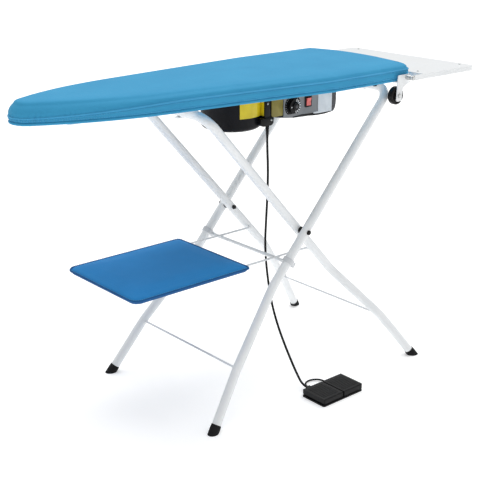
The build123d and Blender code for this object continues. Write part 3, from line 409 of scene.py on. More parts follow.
def new_finish(name, constants):
    """Material with its tree, its shader and object coordinates; constants hold all over it."""
    material = bpy.data.materials.new(name)
    material.use_nodes = True
    tree = material.node_tree
    shader = tree.nodes["Principled BSDF"]
    for socket, value in constants.items():
        shader.inputs[socket].default_value = value
    return material, tree, shader, add(tree, "ShaderNodeTexCoord").outputs["Object"]


def link_shader(tree, shader, sources):
    """Feed the shader's sockets from other nodes."""
    for socket, source in sources.items():
        tree.links.new(source, shader.inputs[socket])


def moulded_finish(name, colour, shade, grain, depth, rough, spread, patch=60, **constants):
    """Solid-coloured surface with a fine grain, slow colour drift and uneven gloss.

    colour and shade are the two ends of the drift, grain and depth are the size and height
    of the bumps, and patch is how far apart the dull and bright places lie, in millimetres.
    """
    material, tree, shader, place = new_finish(name, constants)
    drift = add(tree, "ShaderNodeTexNoise", {"Vector": place, "Scale": 1 / (patch * MM), "Detail": 4.0})
    bumps = add(tree, "ShaderNodeTexNoise", {"Vector": place, "Scale": 1 / (grain * MM), "Detail": 2.0})
    range_in = {"Value": drift.outputs["Fac"], "From Min": 0.3, "From Max": 0.7}
    share = add(tree, "ShaderNodeMapRange", range_in)
    range_out = {"To Min": rough - spread, "To Max": rough + spread}
    gloss = add(tree, "ShaderNodeMapRange", {**range_in, **range_out})
    ends = {"Factor": share.outputs["Result"], "A": srgb(colour), "B": srgb(shade)}
    colours = add(tree, "ShaderNodeMix", ends, data_type="RGBA")
    height = {"Height": bumps.outputs["Fac"], "Distance": depth * MM, "Strength": 1.0}
    relief = add(tree, "ShaderNodeBump", height)
    link_shader(tree, shader, {
        "Base Color": colours.outputs["Result"],
        "Roughness": gloss.outputs["Result"],
        "Normal": relief.outputs["Normal"],
    })
    return material


def woven_finish(name, colour, shade, thread, depth, rough, **constants):
    """Plain weave: raised threads both ways, with slow fading and fine slubs.

    thread is how far apart the threads lie and depth their height, in millimetres.
    """
    material, tree, shader, place = new_finish(name, {"Roughness": rough, **constants})
    # The wave texture repeats every 2 pi / (20 * Scale).
    bands = {"Vector": place, "Scale": 2 * pi / (20 * thread * MM), "Distortion": 0.4, "Detail": 1.0}
    waves = [
        add(tree, "ShaderNodeTexWave", bands, wave_type="BANDS", bands_direction=direction).outputs["Fac"]
        for direction in ("X", "Y", "Z")
    ]
    pair = add(tree, "ShaderNodeMath", {0: waves[0], 1: waves[1]}, operation="MULTIPLY")
    cloth = add(tree, "ShaderNodeMath", {0: pair.outputs["Value"], 1: waves[2]}, operation="ADD")
    fading = add(tree, "ShaderNodeTexNoise", {"Vector": place, "Scale": fading_scale, "Detail": 5.0})
    slubs = add(tree, "ShaderNodeTexNoise", {"Vector": place, "Scale": slub_scale, "Detail": 2.0})
    mixed = add(tree, "ShaderNodeMath", {0: slubs.outputs["Fac"], 1: 0.45, 2: fading.outputs["Fac"]},
                operation="MULTIPLY_ADD")
    share = add(tree, "ShaderNodeMapRange",
                {"Value": mixed.outputs["Value"], "From Min": 0.45, "From Max": 1.0})
    ends = {"Factor": share.outputs["Result"], "A": srgb(shade), "B": srgb(colour)}
    colours = add(tree, "ShaderNodeMix", ends, data_type="RGBA")
    height = {"Height": cloth.outputs["Value"], "Distance": depth * MM, "Strength": 0.6}
    relief = add(tree, "ShaderNodeBump", height)
    link_shader(tree, shader, {
        "Base Color": colours.outputs["Result"], "Normal": relief.outputs["Normal"],
    })
    return material


def plated_finish(name, colour, shade, spangle, rough, spread):
    """Bare or plated metal with crystals, spangle mm across, and stains about three times as wide."""
    material, tree, shader, place = new_finish(name, {"Metallic": 1.0})
    scale = 1 / (spangle * MM)
    cells = add(tree, "ShaderNodeTexVoronoi", {"Vector": place, "Scale": scale, "Randomness": 1.0})
    stains = add(tree, "ShaderNodeTexNoise", {"Vector": place, "Scale": 0.3 * scale, "Detail": 3.0})
    tone = add(tree, "ShaderNodeMath", {0: cells.outputs["Color"], 1: stains.outputs["Fac"]},
               operation="MULTIPLY")
    ends = {"Factor": tone.outputs["Value"], "A": srgb(colour), "B": srgb(shade)}
    colours = add(tree, "ShaderNodeMix", ends, data_type="RGBA")
    gloss = add(tree, "ShaderNodeMapRange",
                {"Value": tone.outputs["Value"], "To Min": rough - spread, "To Max": rough + spread})
    link_shader(tree, shader, {
        "Base Color": colours.outputs["Result"], "Roughness": gloss.outputs["Result"],
    })
    return material


def make_finishes():
    """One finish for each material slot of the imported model, and those of the added pieces."""
    matt = {"Specular IOR Level": 0.2}
    return {
        # Silicone-finished cotton: a tight plain weave with a soft, even sheen.
        "cover_fabric": woven_finish(
            "silicone_finished_cotton", "#409eca", "#3a95c2", 1.3, 0.12, 0.7,
            **{"Sheen Weight": 0.05, "Sheen Roughness": 0.45, "Specular IOR Level": 0.12}),
        # The shelf's cloth is dyed darker, and its weave is a little coarser.
        "shelf_cloth": woven_finish(
            "blue_cotton_drill", "#2b8ace", "#2781c2", 1.5, 0.15, 0.75,
            **{"Sheen Weight": 0.04, "Sheen Roughness": 0.5, "Specular IOR Level": 0.15}),
        # Bias-cut piping cloth, darker than the pad's. It also lines the shelf pad below its piping as
        # painted shade on the pad's underside.
        "piping_cloth": woven_finish(
            "cotton_piping_and_painted_shade", "#245f98", "#1f558b", 0.9, 0.1, 0.8,
            **{"Sheen Weight": 0.04, "Specular IOR Level": 0.15}),
        # The cover's seam is paler than the cloth as a painted highlight along its corded ridge, and a little
        # glossier.
        "cover_piping": woven_finish(
            "cotton_seam_painted_highlight", "#47a4d2", "#3e9ac9", 0.9, 0.1, 0.65,
            **{"Sheen Weight": 0.05, "Specular IOR Level": 0.2}),
        # Thread: paler than the cloth as a painted highlight, so that each stitch shows as a light dash.
        "thread": moulded_finish(
            "polyester_thread_painted_highlight", "#5bafd8", "#4fa4cf", 0.3, 0.05, 0.55, 0.05, **{"Sheen Weight": 0.1}),
        # Needled wool felt, pale and matt.
        "felt": moulded_finish("needled_felt", "#cfc9ba", "#bdb6a6", 0.8, 0.3, 0.95, 0.02),
        # Polyester powder coat on steel: pale grey-white with a faint orange peel.
        "pale_enamel": moulded_finish(
            "powder_coated_steel", "#f3f5f6", "#ebeef0", 1.6, 0.03, 0.34, 0.05,
            **{"Specular IOR Level": 0.5, "Coat Weight": 0.15, "Coat Roughness": 0.2}),
        # The thin rods take a slightly greyer, duller coat.
        "steel_rod": moulded_finish("powder_coated_rod", "#eaedef", "#e2e5e8", 1.2, 0.03, 0.38, 0.05),
        # Black ABS with a spark-eroded texture: dull, faintly blue, brighter on worn places.
        "housing_plastic": moulded_finish(
            "spark_textured_abs", "#0a0b10", "#101117", 0.7, 0.06, 0.45, 0.06,
            **{"Specular IOR Level": 0.15}),
        # Smoother black nylon for the small mouldings and the pedals.
        "black_plastic": moulded_finish(
            "black_nylon", "#0a0a0c", "#111214", 0.9, 0.03, 0.4, 0.06, **matt),
        # Charcoal end cap, with a fine moulded grain.
        "dark_plastic": moulded_finish("charcoal_abs", "#3f4044", "#35363a", 0.8, 0.05, 0.45, 0.05),
        # Pale grey collars that let the bar turn on the tube.
        "grey_plastic": moulded_finish("grey_polyamide", "#d5d8db", "#cbced2", 1.0, 0.04, 0.45, 0.05),
        # Moulded rubber: matt, slightly mottled by handling.
        "black_rubber": moulded_finish(
            "moulded_rubber", "#0d0d0f", "#18181a", 1.1, 0.05, 0.7, 0.07,
            **{"Specular IOR Level": 0.25}),
        # Satin grey paint on the pressed panel.
        "grey_panel": moulded_finish("satin_grey_paint", "#7f8285", "#74777b", 0.6, 0.02, 0.45, 0.05),
        # Black stove enamel on the folded box.
        "box_paint": moulded_finish(
            "black_stove_enamel", "#121316", "#0c0d0f", 1.4, 0.03, 0.4, 0.05, **matt),
        # Clear-moulded red polycarbonate rocker with a high gloss; its red is lightened towards pink as a
        # painted highlight.
        "red_plastic": moulded_finish(
            "red_polycarbonate_painted_highlight", "#e2605c", "#cf4a46", 2.0, 0.01, 0.2, 0.04, 9,
            **{"Coat Weight": 0.6, "Coat Roughness": 0.08}),
        # Satin vinyl films, their drift as wide as a thumb mark.
        "yellow_label": moulded_finish(
            "yellow_vinyl_film", "#e3cd1d", "#d4bd16", 3.0, 0.02, 0.4, 0.06, 25),
        # The small label is the same yellow film, painted darker as the shade that falls on it.
        "small_label": moulded_finish(
            "yellow_vinyl_film_painted_shade", "#8d8134", "#7b7030", 3.0, 0.02, 0.45, 0.06, 25),
        "white_label": moulded_finish(
            "white_vinyl_film", "#dde3e8", "#d0d7dd", 3.0, 0.02, 0.42, 0.06, 25),
        # Screen print on the dial: black ground, white marks.
        "dial_print": moulded_finish(
            "black_screen_print", "#0d0e10", "#141517", 0.5, 0.01, 0.5, 0.05, **matt),
        "white_print": moulded_finish("white_screen_print", "#eceff0", "#dde1e3", 0.5, 0.01, 0.5, 0.05),
        # Metals: bright zinc, spangled sheet, drawn aluminium and a tube browned by heat.
        "zinc_steel": plated_finish("zinc_plated_steel", "#c9cbcc", "#b3b4b0", 4, 0.34, 0.1),
        "galvanised_sheet": plated_finish("galvanised_sheet", "#b9bdc0", "#9fa4a8", 9, 0.42, 0.1),
        "aluminium_plate": plated_finish("mill_finish_aluminium", "#d3d5d6", "#c3c6c8", 3, 0.4, 0.06),
        "heater_tube": plated_finish("oxidised_steel_tube", "#5c5a58", "#4a4541", 6, 0.5, 0.1),
    }


def paint_nodes():
    """Every CAD node gets the finish of its material slot."""
    for part in frame["record"]["subparts"]:
        node = frame["nodes"][part["node"]]
        node.data.materials.clear()
        node.data.materials.append(finishes[part["material_slot"]])


# Pieces and meshes

def carry(piece, body, slot, replaced):
    """Let a body carry a piece, and hide the CAD nodes that it stands for; the slot is not used."""
    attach(piece, body)
    if replaced:
        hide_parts(*replaced)


def dress(piece, body, finish, slot="", replaced=()):
    """Give a piece its finish and its body; the slot is not used."""
    piece.data.materials.clear()
    piece.data.materials.append(finishes[finish])
    carry(piece, body, slot or finish, replaced)


def new_piece(mesh, body, finish, slot="", replaced=()):
    """Piece made of one mesh, with the mesh's name."""
    dress(new_object(mesh.name, mesh), body, finish, slot, replaced)


def mesh_of(name, points, faces, sharp=False):
    """Smooth mesh with its faces turned outwards, and perhaps creased at its sharp edges."""
    mesh = bpy.data.meshes.new(name)
    mesh.from_pydata([tuple(point) for point in points], [], faces)
    shape = bmesh.new()
    shape.from_mesh(mesh)
    bmesh.ops.recalc_face_normals(shape, faces=shape.faces)
    for face in shape.faces:
        face.smooth = True
    shape.to_mesh(mesh)
    shape.free()
    if sharp:
        mesh.set_sharp_from_angle(angle=sharp_angle)
    return mesh


def strips(rows, count, closed=False):
    """Faces between rows of count points each; closed joins the last row to the first."""
    faces = []
    for row in range(rows if closed else rows - 1):
        here = row * count
        there = (row + 1) % rows * count
        for side in range(count):
            after = (side + 1) % count
            faces.append((here + side, here + after, there + after, there + side))
    return faces


def capped(rows, count):
    """Faces between rows of count points each, with a cap on the first and last row."""
    last = (rows - 1) * count
    return [tuple(range(count)), tuple(range(last, last + count))] + strips(rows, count)


def ring_mesh(name, path, section):
    """Closed form that follows a closed level path.

    path has a point and its outward direction at each step, and section(step) gives
    the (outward, upward) offsets of a closed loop there.
    """
    points = []
    for step, (point, outward) in enumerate(path):
        points += [point + outward * out + Vector((0, 0, up)) for out, up in section(step)]
    return mesh_of(name, points, strips(len(path), len(points) // len(path), closed=True))


def stack_mesh(name, path, levels):
    """Closed form made of one outline at levels of height, inset and size about the middle."""
    middle = sum((point for point, outward in path), Vector()) / len(path)
    points = []
    for height, inset, size in levels:
        for point, outward in path:
            place = point - outward * inset
            place += (place - middle) * (size - 1)
            points.append(Vector((place.x, place.y, height)))
    return mesh_of(name, points, capped(len(levels), len(path)))


def bevelled(mesh, width, segments):
    """Round all the sharp edges of a mesh; the width is in millimetres."""
    shape = bmesh.new()
    shape.from_mesh(mesh)
    edges = [edge for edge in shape.edges if edge.calc_face_angle(0) > sharp_angle]
    bmesh.ops.bevel(shape, geom=edges, offset=width * MM, segments=segments, profile=0.5, affect="EDGES")
    for face in shape.faces:
        face.smooth = True
    shape.to_mesh(mesh)
    shape.free()
    mesh.set_sharp_from_angle(angle=sharp_angle)
    return mesh


def table_place(x, y, z):
    """Place in the table's own axes and millimetres, in this frame."""
    return Vector((pivot_x + x * MM, middle_y + y * MM, z * MM))


def upright_mesh(name, outline, depth, bevel, segments=2):
    """Flat form with an outline of (x, z), between the two values of y in depth."""
    points = [table_place(x, y, z) for y in depth for x, z in outline]
    return bevelled(mesh_of(name, points, capped(2, len(outline))), bevel, segments)


def block_mesh(name, low, high, bevel):
    """Block between two corners, with rounded edges."""
    outline = ((low[0], low[2]), (high[0], low[2]), (high[0], high[2]), (low[0], high[2]))
    return upright_mesh(name, outline, (low[1], high[1]), bevel, 3)


def round_rectangle(middle, size, lower, upper):
    """Outline of an upright rectangle in (x, z), with its lower and upper corners' radii."""
    points = []
    for x, z, turn in ((1, 1, 0), (-1, 1, 1), (-1, -1, 2), (1, -1, 3)):
        radius = lower if z < 0 else upper
        centre_x = middle[0] + x * (size[0] / 2 - radius)
        centre_z = middle[1] + z * (size[1] / 2 - radius)
        for step in range(7):
            angle = (turn + step / 6) * pi / 2
            points.append((centre_x + radius * cos(angle), centre_z + radius * sin(angle)))
    return points


def lathe_mesh(name, base, axis, profile, sides=32, flutes=0):
    """Round form about an axis, from rows of radius, height and perhaps the flutes' depth."""
    across = axis.orthogonal().normalized()
    other = axis.cross(across)
    points = []
    for radius, height, *flute in profile:
        for side in range(sides):
            turn = 2 * pi * side / sides
            drawn_in = sum(flute) * (0.5 + 0.5 * cos(flutes * turn))
            reach = (across * cos(turn) + other * sin(turn)) * (radius - drawn_in)
            points.append(base + (axis * height + reach) * MM)
    return mesh_of(name, points, capped(len(profile), sides), sharp=True)


def circle_section(radius, out=0.0, up=0.0, sides=10):
    """Round section of a piping or roll."""
    turns = [2 * pi * side / sides for side in range(sides)]
    return [(out + radius * cos(turn), up + radius * sin(turn)) for turn in turns]


# Outlines

def even_steps(corners, step):
    """The same closed line, divided evenly, with the outward direction at each point."""
    closed = corners + corners[:1]
    reach = [0.0]
    for here, there in zip(closed, closed[1:]):
        reach.append(reach[-1] + (there - here).length)
    count = round(reach[-1] / step)
    points = []
    at = 0
    for index in range(count):
        distance = reach[-1] * index / count
        while reach[at + 1] < distance:
            at += 1
        share = (distance - reach[at]) / (reach[at + 1] - reach[at])
        points.append(closed[at].lerp(closed[at + 1], share))
    path = []
    for index, point in enumerate(points):
        along = points[(index + 1) % count] - points[index - 1]
        path.append((point, Vector((along.y, -along.x, 0)).normalized()))
    return path


def arc(centre, radius, start, end, steps):
    """Points on an arc, its first one left out."""
    turns = [start + (end - start) * step / steps for step in range(1, steps + 1)]
    return [centre + Vector((cos(turn), sin(turn), 0)) * radius for turn in turns]


def board_outline():
    """Boat shape of the board, anticlockwise: tail, tapering sides, long arcs and round nose."""
    start = Vector((taper_start, board_half_width, 0))
    end = Vector((taper_end, board_half_width - taper_draw_in, 0))
    along = (end - start).normalized()
    inward = Vector((-along.y, along.x, 0))
    nose = Vector((cover_low.x + nose_radius, 0, 0))
    gap = end - nose
    long_radius = (gap.length ** 2 - nose_radius ** 2) / (-2 * (gap.dot(inward) + nose_radius))
    centre = end + inward * long_radius
    leave = atan2(end.y - centre.y, end.x - centre.x)
    touch = atan2(nose.y - centre.y, nose.x - centre.x)
    corner = Vector((cover_high.x - tail_corner, board_half_width - tail_corner, 0))
    upper = [Vector((cover_high.x, 0, 0)), Vector((cover_high.x, corner.y, 0))]
    upper += arc(corner, tail_corner, 0, pi / 2, 8)
    upper += [start, end]
    upper += arc(centre, long_radius, leave, touch, 40)
    upper += arc(nose, nose_radius, touch, pi, 16)
    lower = [Vector((point.x, -point.y, 0)) for point in reversed(upper[1:-1])]
    shift = Vector((0, middle_y, 0))
    return even_steps([point + shift for point in upper + lower], outline_step)


def shelf_outline(low, high):
    """Rounded rectangle of the shelf pad, rounder towards the nose."""
    corners = []
    for x, y, turn in ((1, 1, 0), (-1, 1, 1), (-1, -1, 2), (1, -1, 3)):
        radius = shelf_tail_corner if x > 0 else shelf_nose_corner
        centre_x = (high.x if x > 0 else low.x) - x * radius
        centre_y = (high.y if y > 0 else low.y) - y * radius
        corners += arc(Vector((centre_x, centre_y, 0)), radius, turn * pi / 2, (turn + 1) * pi / 2, 10)
    return even_steps(corners, outline_step)


# Padding

def copy_of(node):
    """Copy of a CAD node's mesh with its doubles merged."""
    shape = bmesh.new()
    shape.from_mesh(frame["nodes"][node].data)
    bmesh.ops.remove_doubles(shape, verts=shape.verts, dist=0.01 * MM)
    bmesh.ops.recalc_face_normals(shape, faces=shape.faces)
    mesh = bpy.data.meshes.new(node + "_copy")
    shape.to_mesh(mesh)
    shape.free()
    return mesh


def evaluated_mesh(piece):
    """Plain mesh of a piece with its modifiers applied, which are then taken off."""
    graph = bpy.context.evaluated_depsgraph_get()
    mesh = bpy.data.meshes.new_from_object(piece.evaluated_get(graph))
    piece.modifiers.clear()
    old = piece.data
    piece.data = mesh
    if old.users == 0:
        bpy.data.meshes.remove(old)
    return mesh


def smoothed(mesh, rounds):
    """Even out the small dents of a mesh."""
    axes = {"use_axis_x": True, "use_axis_y": True, "use_axis_z": True}
    shape = bmesh.new()
    shape.from_mesh(mesh)
    for step in range(rounds):
        bmesh.ops.smooth_vert(shape, verts=shape.verts, factor=0.5, **axes)
    shape.to_mesh(mesh)
    shape.free()


def padded_form(name, meshes, voxel, shrink, cap, pinned, rounds):
    """Stuffed form: the joined solids remeshed, drawn in, blown up as cloth and held near them."""
    joined = bmesh.new()
    for mesh in meshes:
        joined.from_mesh(mesh)
    mesh = bpy.data.meshes.new(name)
    joined.to_mesh(mesh)
    joined.free()
    piece = new_object(name, mesh)
    remesh = piece.modifiers.new("remesh", "REMESH")
    remesh.mode = "VOXEL"
    remesh.voxel_size = voxel
    remesh.use_smooth_shade = True
    mesh = evaluated_mesh(piece)
    normals = [vertex.normal.copy() for vertex in mesh.vertices]
    hold = [pinned(vertex.co) for vertex in mesh.vertices]
    for vertex, normal, held in zip(mesh.vertices, normals, hold):
        vertex.co -= normal * shrink * (1 - held)
    before = [vertex.co.copy() for vertex in mesh.vertices]
    group = piece.vertex_groups.new(name="held")
    for index, held in enumerate(hold):
        group.add([index], held, "REPLACE")
    cloth = piece.modifiers.new("cloth", "CLOTH")
    cloth.settings.use_pressure = True
    cloth.settings.uniform_pressure_force = padding_pressure
    cloth.settings.effector_weights.gravity = 0
    cloth.settings.vertex_group_mass = "held"
    cloth.point_cache.frame_start = 1
    cloth.point_cache.frame_end = settle_frames
    for step in range(1, settle_frames + 1):
        bpy.context.scene.frame_set(step)
    mesh = evaluated_mesh(piece)
    piece.vertex_groups.clear()
    for vertex, start, normal in zip(mesh.vertices, before, normals):
        move = vertex.co - start
        inward = -move.dot(normal)
        if inward > inward_cap:
            move += normal * (inward - inward_cap)
        if move.length > cap:
            move = move.normalized() * cap
        vertex.co = start + move
    bpy.context.scene.frame_set(1)
    smoothed(piece.data, rounds)
    finer = piece.modifiers.new("finer", "SUBSURF")
    finer.levels = 1
    finer.render_levels = 1
    evaluated_mesh(piece)
    return piece


# Cover

def seam_height(x):
    """Height of the cover's side seam, which drops towards the nose."""
    share = min(max((x - cover_low.x) / seam_rise_length, 0), 1)
    share = share * share * (3 - 2 * share)
    return seam_nose_z + (seam_tail_z - seam_nose_z) * share


def nose_share(x):
    """How far a place belongs to the nose, where the cloth is gathered: 1 at its tip, 0 away from it."""
    return min(max(1 - (x - cover_low.x) / pucker_length, 0), 1)


def gather(step, x):
    """How far the gathered cloth sinks at a step of the outline, from -1 to 1."""
    return sin(2 * pi * step * outline_step / pucker_pitch) * nose_share(x)


def shape_side(mesh, outline):
    """Round the padding down to the seam, and press in the seam's crease, puckered round the nose."""
    tree = KDTree(len(outline))
    for index, (point, outward) in enumerate(outline):
        tree.insert(point, index)
    tree.balance()
    normals = [vertex.normal.copy() for vertex in mesh.vertices]
    for vertex, normal in zip(mesh.vertices, normals):
        place = vertex.co.copy()
        point, index, distance = tree.find(Vector((place.x, place.y, 0)))
        outward = outline[index][1]
        inside = max((point - place).dot(outward), 0)
        rise = (place.z - seam_height(place.x)) / (shoulder_top - seam_height(place.x))
        if rise > 0 and inside < shoulder_reach:
            share = min(rise, 1) ** shoulder_curve
            near = 1 - inside / shoulder_reach
            lowered = Vector((0, 0, shoulder_drop * share * near * near))
            place -= outward * shoulder_inset * share * near + lowered
            vertex.co = place
        above = place.z - seam_height(place.x)
        if distance > side_reach or normal.dot(outward) < side_facing:
            continue
        depth = crease_depth * (1 - nose_easing * nose_share(place.x))
        press = depth * exp(-((above - crease_above) / crease_width) ** 2)
        press += pucker_depth * gather(index, place.x) * exp(-(above / pucker_reach) ** 2)
        vertex.co = place - outward * press


def make_cover(outline):
    """Padded cover over the plate: full crowned top, drawn down round the pan."""
    heights = (hem_z + fill_above_hem, plate_top_z + fill_above_plate)
    fill = stack_mesh("cover_fill", outline, [(z, fill_inset, 1) for z in heights])

    def pinned(point):
        rise = (point.z - hem_z) / (cover_high.z - hem_z)
        loose = (rise - cover_held_below) / (cover_loose_above - cover_held_below)
        return 1 - (1 - cover_least_hold) * min(max(loose, 0), 1)

    meshes = [copy_of("board_cover"), fill]
    piece = padded_form("cover", meshes, cover_voxel, cover_shrink, cover_cap, pinned, cover_smoothing)
    shape_side(piece.data, outline)
    heights = (hem_z - pocket_drop, plate_top_z)
    pocket = new_object("pocket", stack_mesh("pocket", outline, [(z, cover_wall, 1) for z in heights]))
    cut = piece.modifiers.new("cut", "BOOLEAN")
    cut.operation = "DIFFERENCE"
    cut.solver = "MANIFOLD"
    cut.object = pocket
    evaluated_mesh(piece)
    bpy.data.objects.remove(pocket)
    for face in piece.data.polygons:
        face.use_smooth = True
    dress(piece, "table_top", "cover_fabric", replaced=("board_cover", "felt_pad"))


def make_cover_piping(outline):
    """Corded seam round the cover's side, below its crease."""
    path = [(Vector((p.x, p.y, seam_height(p.x))), outward) for p, outward in outline]

    def section(step):
        proud = piping_proud - piping_pucker * gather(step, path[step][0].x)
        return circle_section(piping_radius, proud - piping_radius)

    new_piece(ring_mesh("cover_seam", path, section), "table_top", "cover_piping", "cover_fabric")


def make_cover_hem(outline):
    """Hem: a roll round the lower edge, and cloth drawn in under the pan with its cord channel."""
    path = [(Vector((p.x, p.y, hem_z)), outward) for p, outward in outline]
    edge = -hem_roll - hem_reach

    def section(step):
        turn = outline[step - 1][1].angle(outline[(step + 1) % len(outline)][1])
        bend = min(turn / (2 * outline_step) * hem_bend_length, 1)
        phase = 2 * pi * step * outline_step / hem_ruffle_pitch
        wave = (sin(phase) - 1) * hem_ruffle * (hem_straight_share + bend)
        radius = hem_roll * (1 + hem_swell * bend * sin(phase * hem_swell_beat))
        roll = [(radius * cos(radians(t)) - hem_roll, hem_roll_rise + radius * sin(radians(t)))
                for t in hem_roll_turns]
        lower = [(-hem_fold, -hem_under - hem_cloth), (edge / 2, wave / 2 - hem_under - hem_cloth)]
        channel = circle_section(hem_channel_radius, edge, wave - hem_under - hem_channel_radius, 12)
        upper = [(edge / 2, wave / 2 - hem_under), (-hem_fold, -hem_under), (-hem_roll - hem_gap, -hem_under)]
        # Backwards round the channel, without its three points where the cloth runs into it.
        return roll + lower + channel[:2:-1] + upper

    new_piece(ring_mesh("cover_hem", path, section), "table_top", "cover_fabric")


# Shelf

def make_shelf_pad():
    """Padded shelf with a corded seam round its edge; it gives the seam's outline and height."""
    low = table_place(*shelf_low)
    high = table_place(*shelf_high)
    outline = shelf_outline(low, high)
    levels = [(height * MM, inset * MM, size) for height, inset, size in shelf_levels]
    edge_z = high.z - shelf_piping_below_top

    def pinned(point):
        return 0.0 if abs(point.z - edge_z) > shelf_held_band else shelf_hold

    meshes = [stack_mesh("shelf_fill", outline, levels)]
    piece = padded_form(
        "shelf_cushion", meshes, shelf_voxel, shelf_shrink, shelf_cap, pinned, shelf_smoothing)
    dress(piece, "shelf", "shelf_cloth", "cover_fabric", ("shelf_pad",))
    # Below the piping the pad takes the piping's darker cloth as painted shade on its underside.
    piece.data.materials.append(finishes["piping_cloth"])
    for face in piece.data.polygons:
        face.use_smooth = True
        face.material_index = 1 if face.center.z < edge_z else 0
    path = [(Vector((p.x, p.y, edge_z)), outward) for p, outward in outline]
    lean = shelf_piping_proud - shelf_piping_radius
    mesh = ring_mesh("shelf_piping", path, lambda step: circle_section(shelf_piping_radius, lean))
    new_piece(mesh, "shelf", "piping_cloth", "cover_fabric")
    return outline, edge_z


# Repeated details, placed by node trees

def repeat_tree(name, shape, finish):
    """Node tree that puts one shape, of a given size, at every point and turns it by its attribute.

    shape is bead for a rounded grain such as a stitch, bar for a printed or sunk dash, and
    ring for a round bead round a rod.
    """
    tree = bpy.data.node_groups.new(name, "GeometryNodeTree")
    tree.is_modifier = True
    for label, kind in (("Places", "Geometry"), ("Size", "Vector"), ("Unevenness", "Float"), ("Seed", "Int")):
        tree.interface.new_socket(label, in_out="INPUT", socket_type="NodeSocket" + kind)
    tree.interface.new_socket("Details", in_out="OUTPUT", socket_type="NodeSocketGeometry")
    given = add(tree, "NodeGroupInput").outputs
    if shape == "bead":
        single = add(tree, "GeometryNodeMeshUVSphere", {"Segments": 8, "Rings": 4, "Radius": 0.5})
    elif shape == "bar":
        single = add(tree, "GeometryNodeMeshCube")
    else:
        big, small = (
            add(tree, "GeometryNodeCurvePrimitiveCircle", {"Resolution": sides, "Radius": radius})
            for sides, radius in ((20, 1.0), (8, weld_fullness)))
        curves = {"Curve": big.outputs["Curve"], "Profile Curve": small.outputs["Curve"]}
        single = add(tree, "GeometryNodeCurveToMesh", curves)
    sized = add(tree, "GeometryNodeTransform", {"Geometry": single.outputs["Mesh"], "Scale": given["Size"]})
    turn = add(tree, "GeometryNodeInputNamedAttribute", {"Name": "turn"}, data_type="FLOAT_VECTOR")
    rotation = add(tree, "FunctionNodeEulerToRotation", {"Euler": turn.outputs["Attribute"]})
    least = add(tree, "ShaderNodeMath", {0: 1.0, 1: given["Unevenness"]}, operation="SUBTRACT")
    most = add(tree, "ShaderNodeMath", {0: 1.0, 1: given["Unevenness"]}, operation="ADD")
    vary = add(tree, "FunctionNodeRandomValue", {
        "Min": least.outputs["Value"], "Max": most.outputs["Value"], "Seed": given["Seed"],
    }, data_type="FLOAT_VECTOR")
    placed = add(tree, "GeometryNodeInstanceOnPoints", {
        "Points": given["Places"], "Instance": sized.outputs["Geometry"],
        "Rotation": rotation.outputs["Rotation"], "Scale": vary.outputs["Value"],
    })
    real = add(tree, "GeometryNodeRealizeInstances", {"Geometry": placed.outputs["Instances"]})
    soft = add(tree, "GeometryNodeSetShadeSmooth", {
        "Geometry": real.outputs["Geometry"], "Shade Smooth": shape != "bar",
    })
    painted = add(tree, "GeometryNodeSetMaterial", {
        "Geometry": soft.outputs["Geometry"], "Material": finish,
    })
    add(tree, "NodeGroupOutput", {"Details": painted.outputs["Geometry"]})
    return tree


def axes_turn(along, out):
    """Euler turn that lays a shape's X along one direction and its Z along another."""
    along = along.normalized()
    across = out.cross(along).normalized()
    out = along.cross(across)
    return Matrix((along, across, out)).transposed().to_euler("XYZ")


def repeat(name, shape, places, size, body, finish, slot="", replaced=(), unevenness=0.0):
    """One plain mesh of a shape repeated at places, each a point, its along and its out direction.

    size is the shape's length, width and height in millimetres.
    """
    points = bpy.data.meshes.new(name)
    points.from_pydata([place[0] for place in places], [], [])
    turns = points.attributes.new("turn", "FLOAT_VECTOR", "POINT")
    for index, (point, along, out) in enumerate(places):
        turns.data[index].vector = axes_turn(along, out)
    piece = new_object(name, points)
    tree = repeat_tree(name, shape, finishes[finish])
    modifier = piece.modifiers.new(name, "NODES")
    modifier.node_group = tree
    values = {"Size": [value * MM for value in size], "Unevenness": unevenness, "Seed": repeat_seed}
    for socket in tree.interface.items_tree:
        if socket.in_out == "INPUT" and socket.name in values:
            modifier[socket.identifier] = values[socket.name]
    evaluated_mesh(piece)
    carry(piece, body, slot or finish, replaced)


def along_path(path, rise, proud):
    """Places a stitch apart along a closed outline: a height for each and a distance out of it."""
    count = len(path)
    step = stitch_pitch / outline_step
    places = []
    at = 0.0
    while at < count - 0.5 * step:
        index = int(at)
        point, outward = path[index]
        after = path[(index + 1) % count][0]
        place = point.lerp(after, at - index) + outward * proud
        place.z = rise(place.x)
        places.append((place, Vector((-outward.y, outward.x, 0)), outward))
        at += step
    return places


def make_stitches(outline, shelf_path, shelf_edge_z):
    """Lockstitches under the cover's corded seam, above its hem roll and round the shelf pad."""
    below_seam = along_path(outline, lambda x: seam_height(x) - stitch_drop, stitch_proud)
    above_hem = along_path(outline, lambda x: hem_z + hem_stitch_rise, stitch_proud)
    repeat("cover_stitches", "bead", below_seam + above_hem, stitch_size,
           "table_top", "thread", "cover_fabric", unevenness=stitch_unevenness)
    beside = along_path(shelf_path, lambda x: shelf_edge_z + shelf_stitch_rise, -shelf_stitch_inset)
    repeat("shelf_stitches", "bead", beside, stitch_size,
           "shelf", "thread", "cover_fabric", unevenness=stitch_unevenness)


# Suction unit

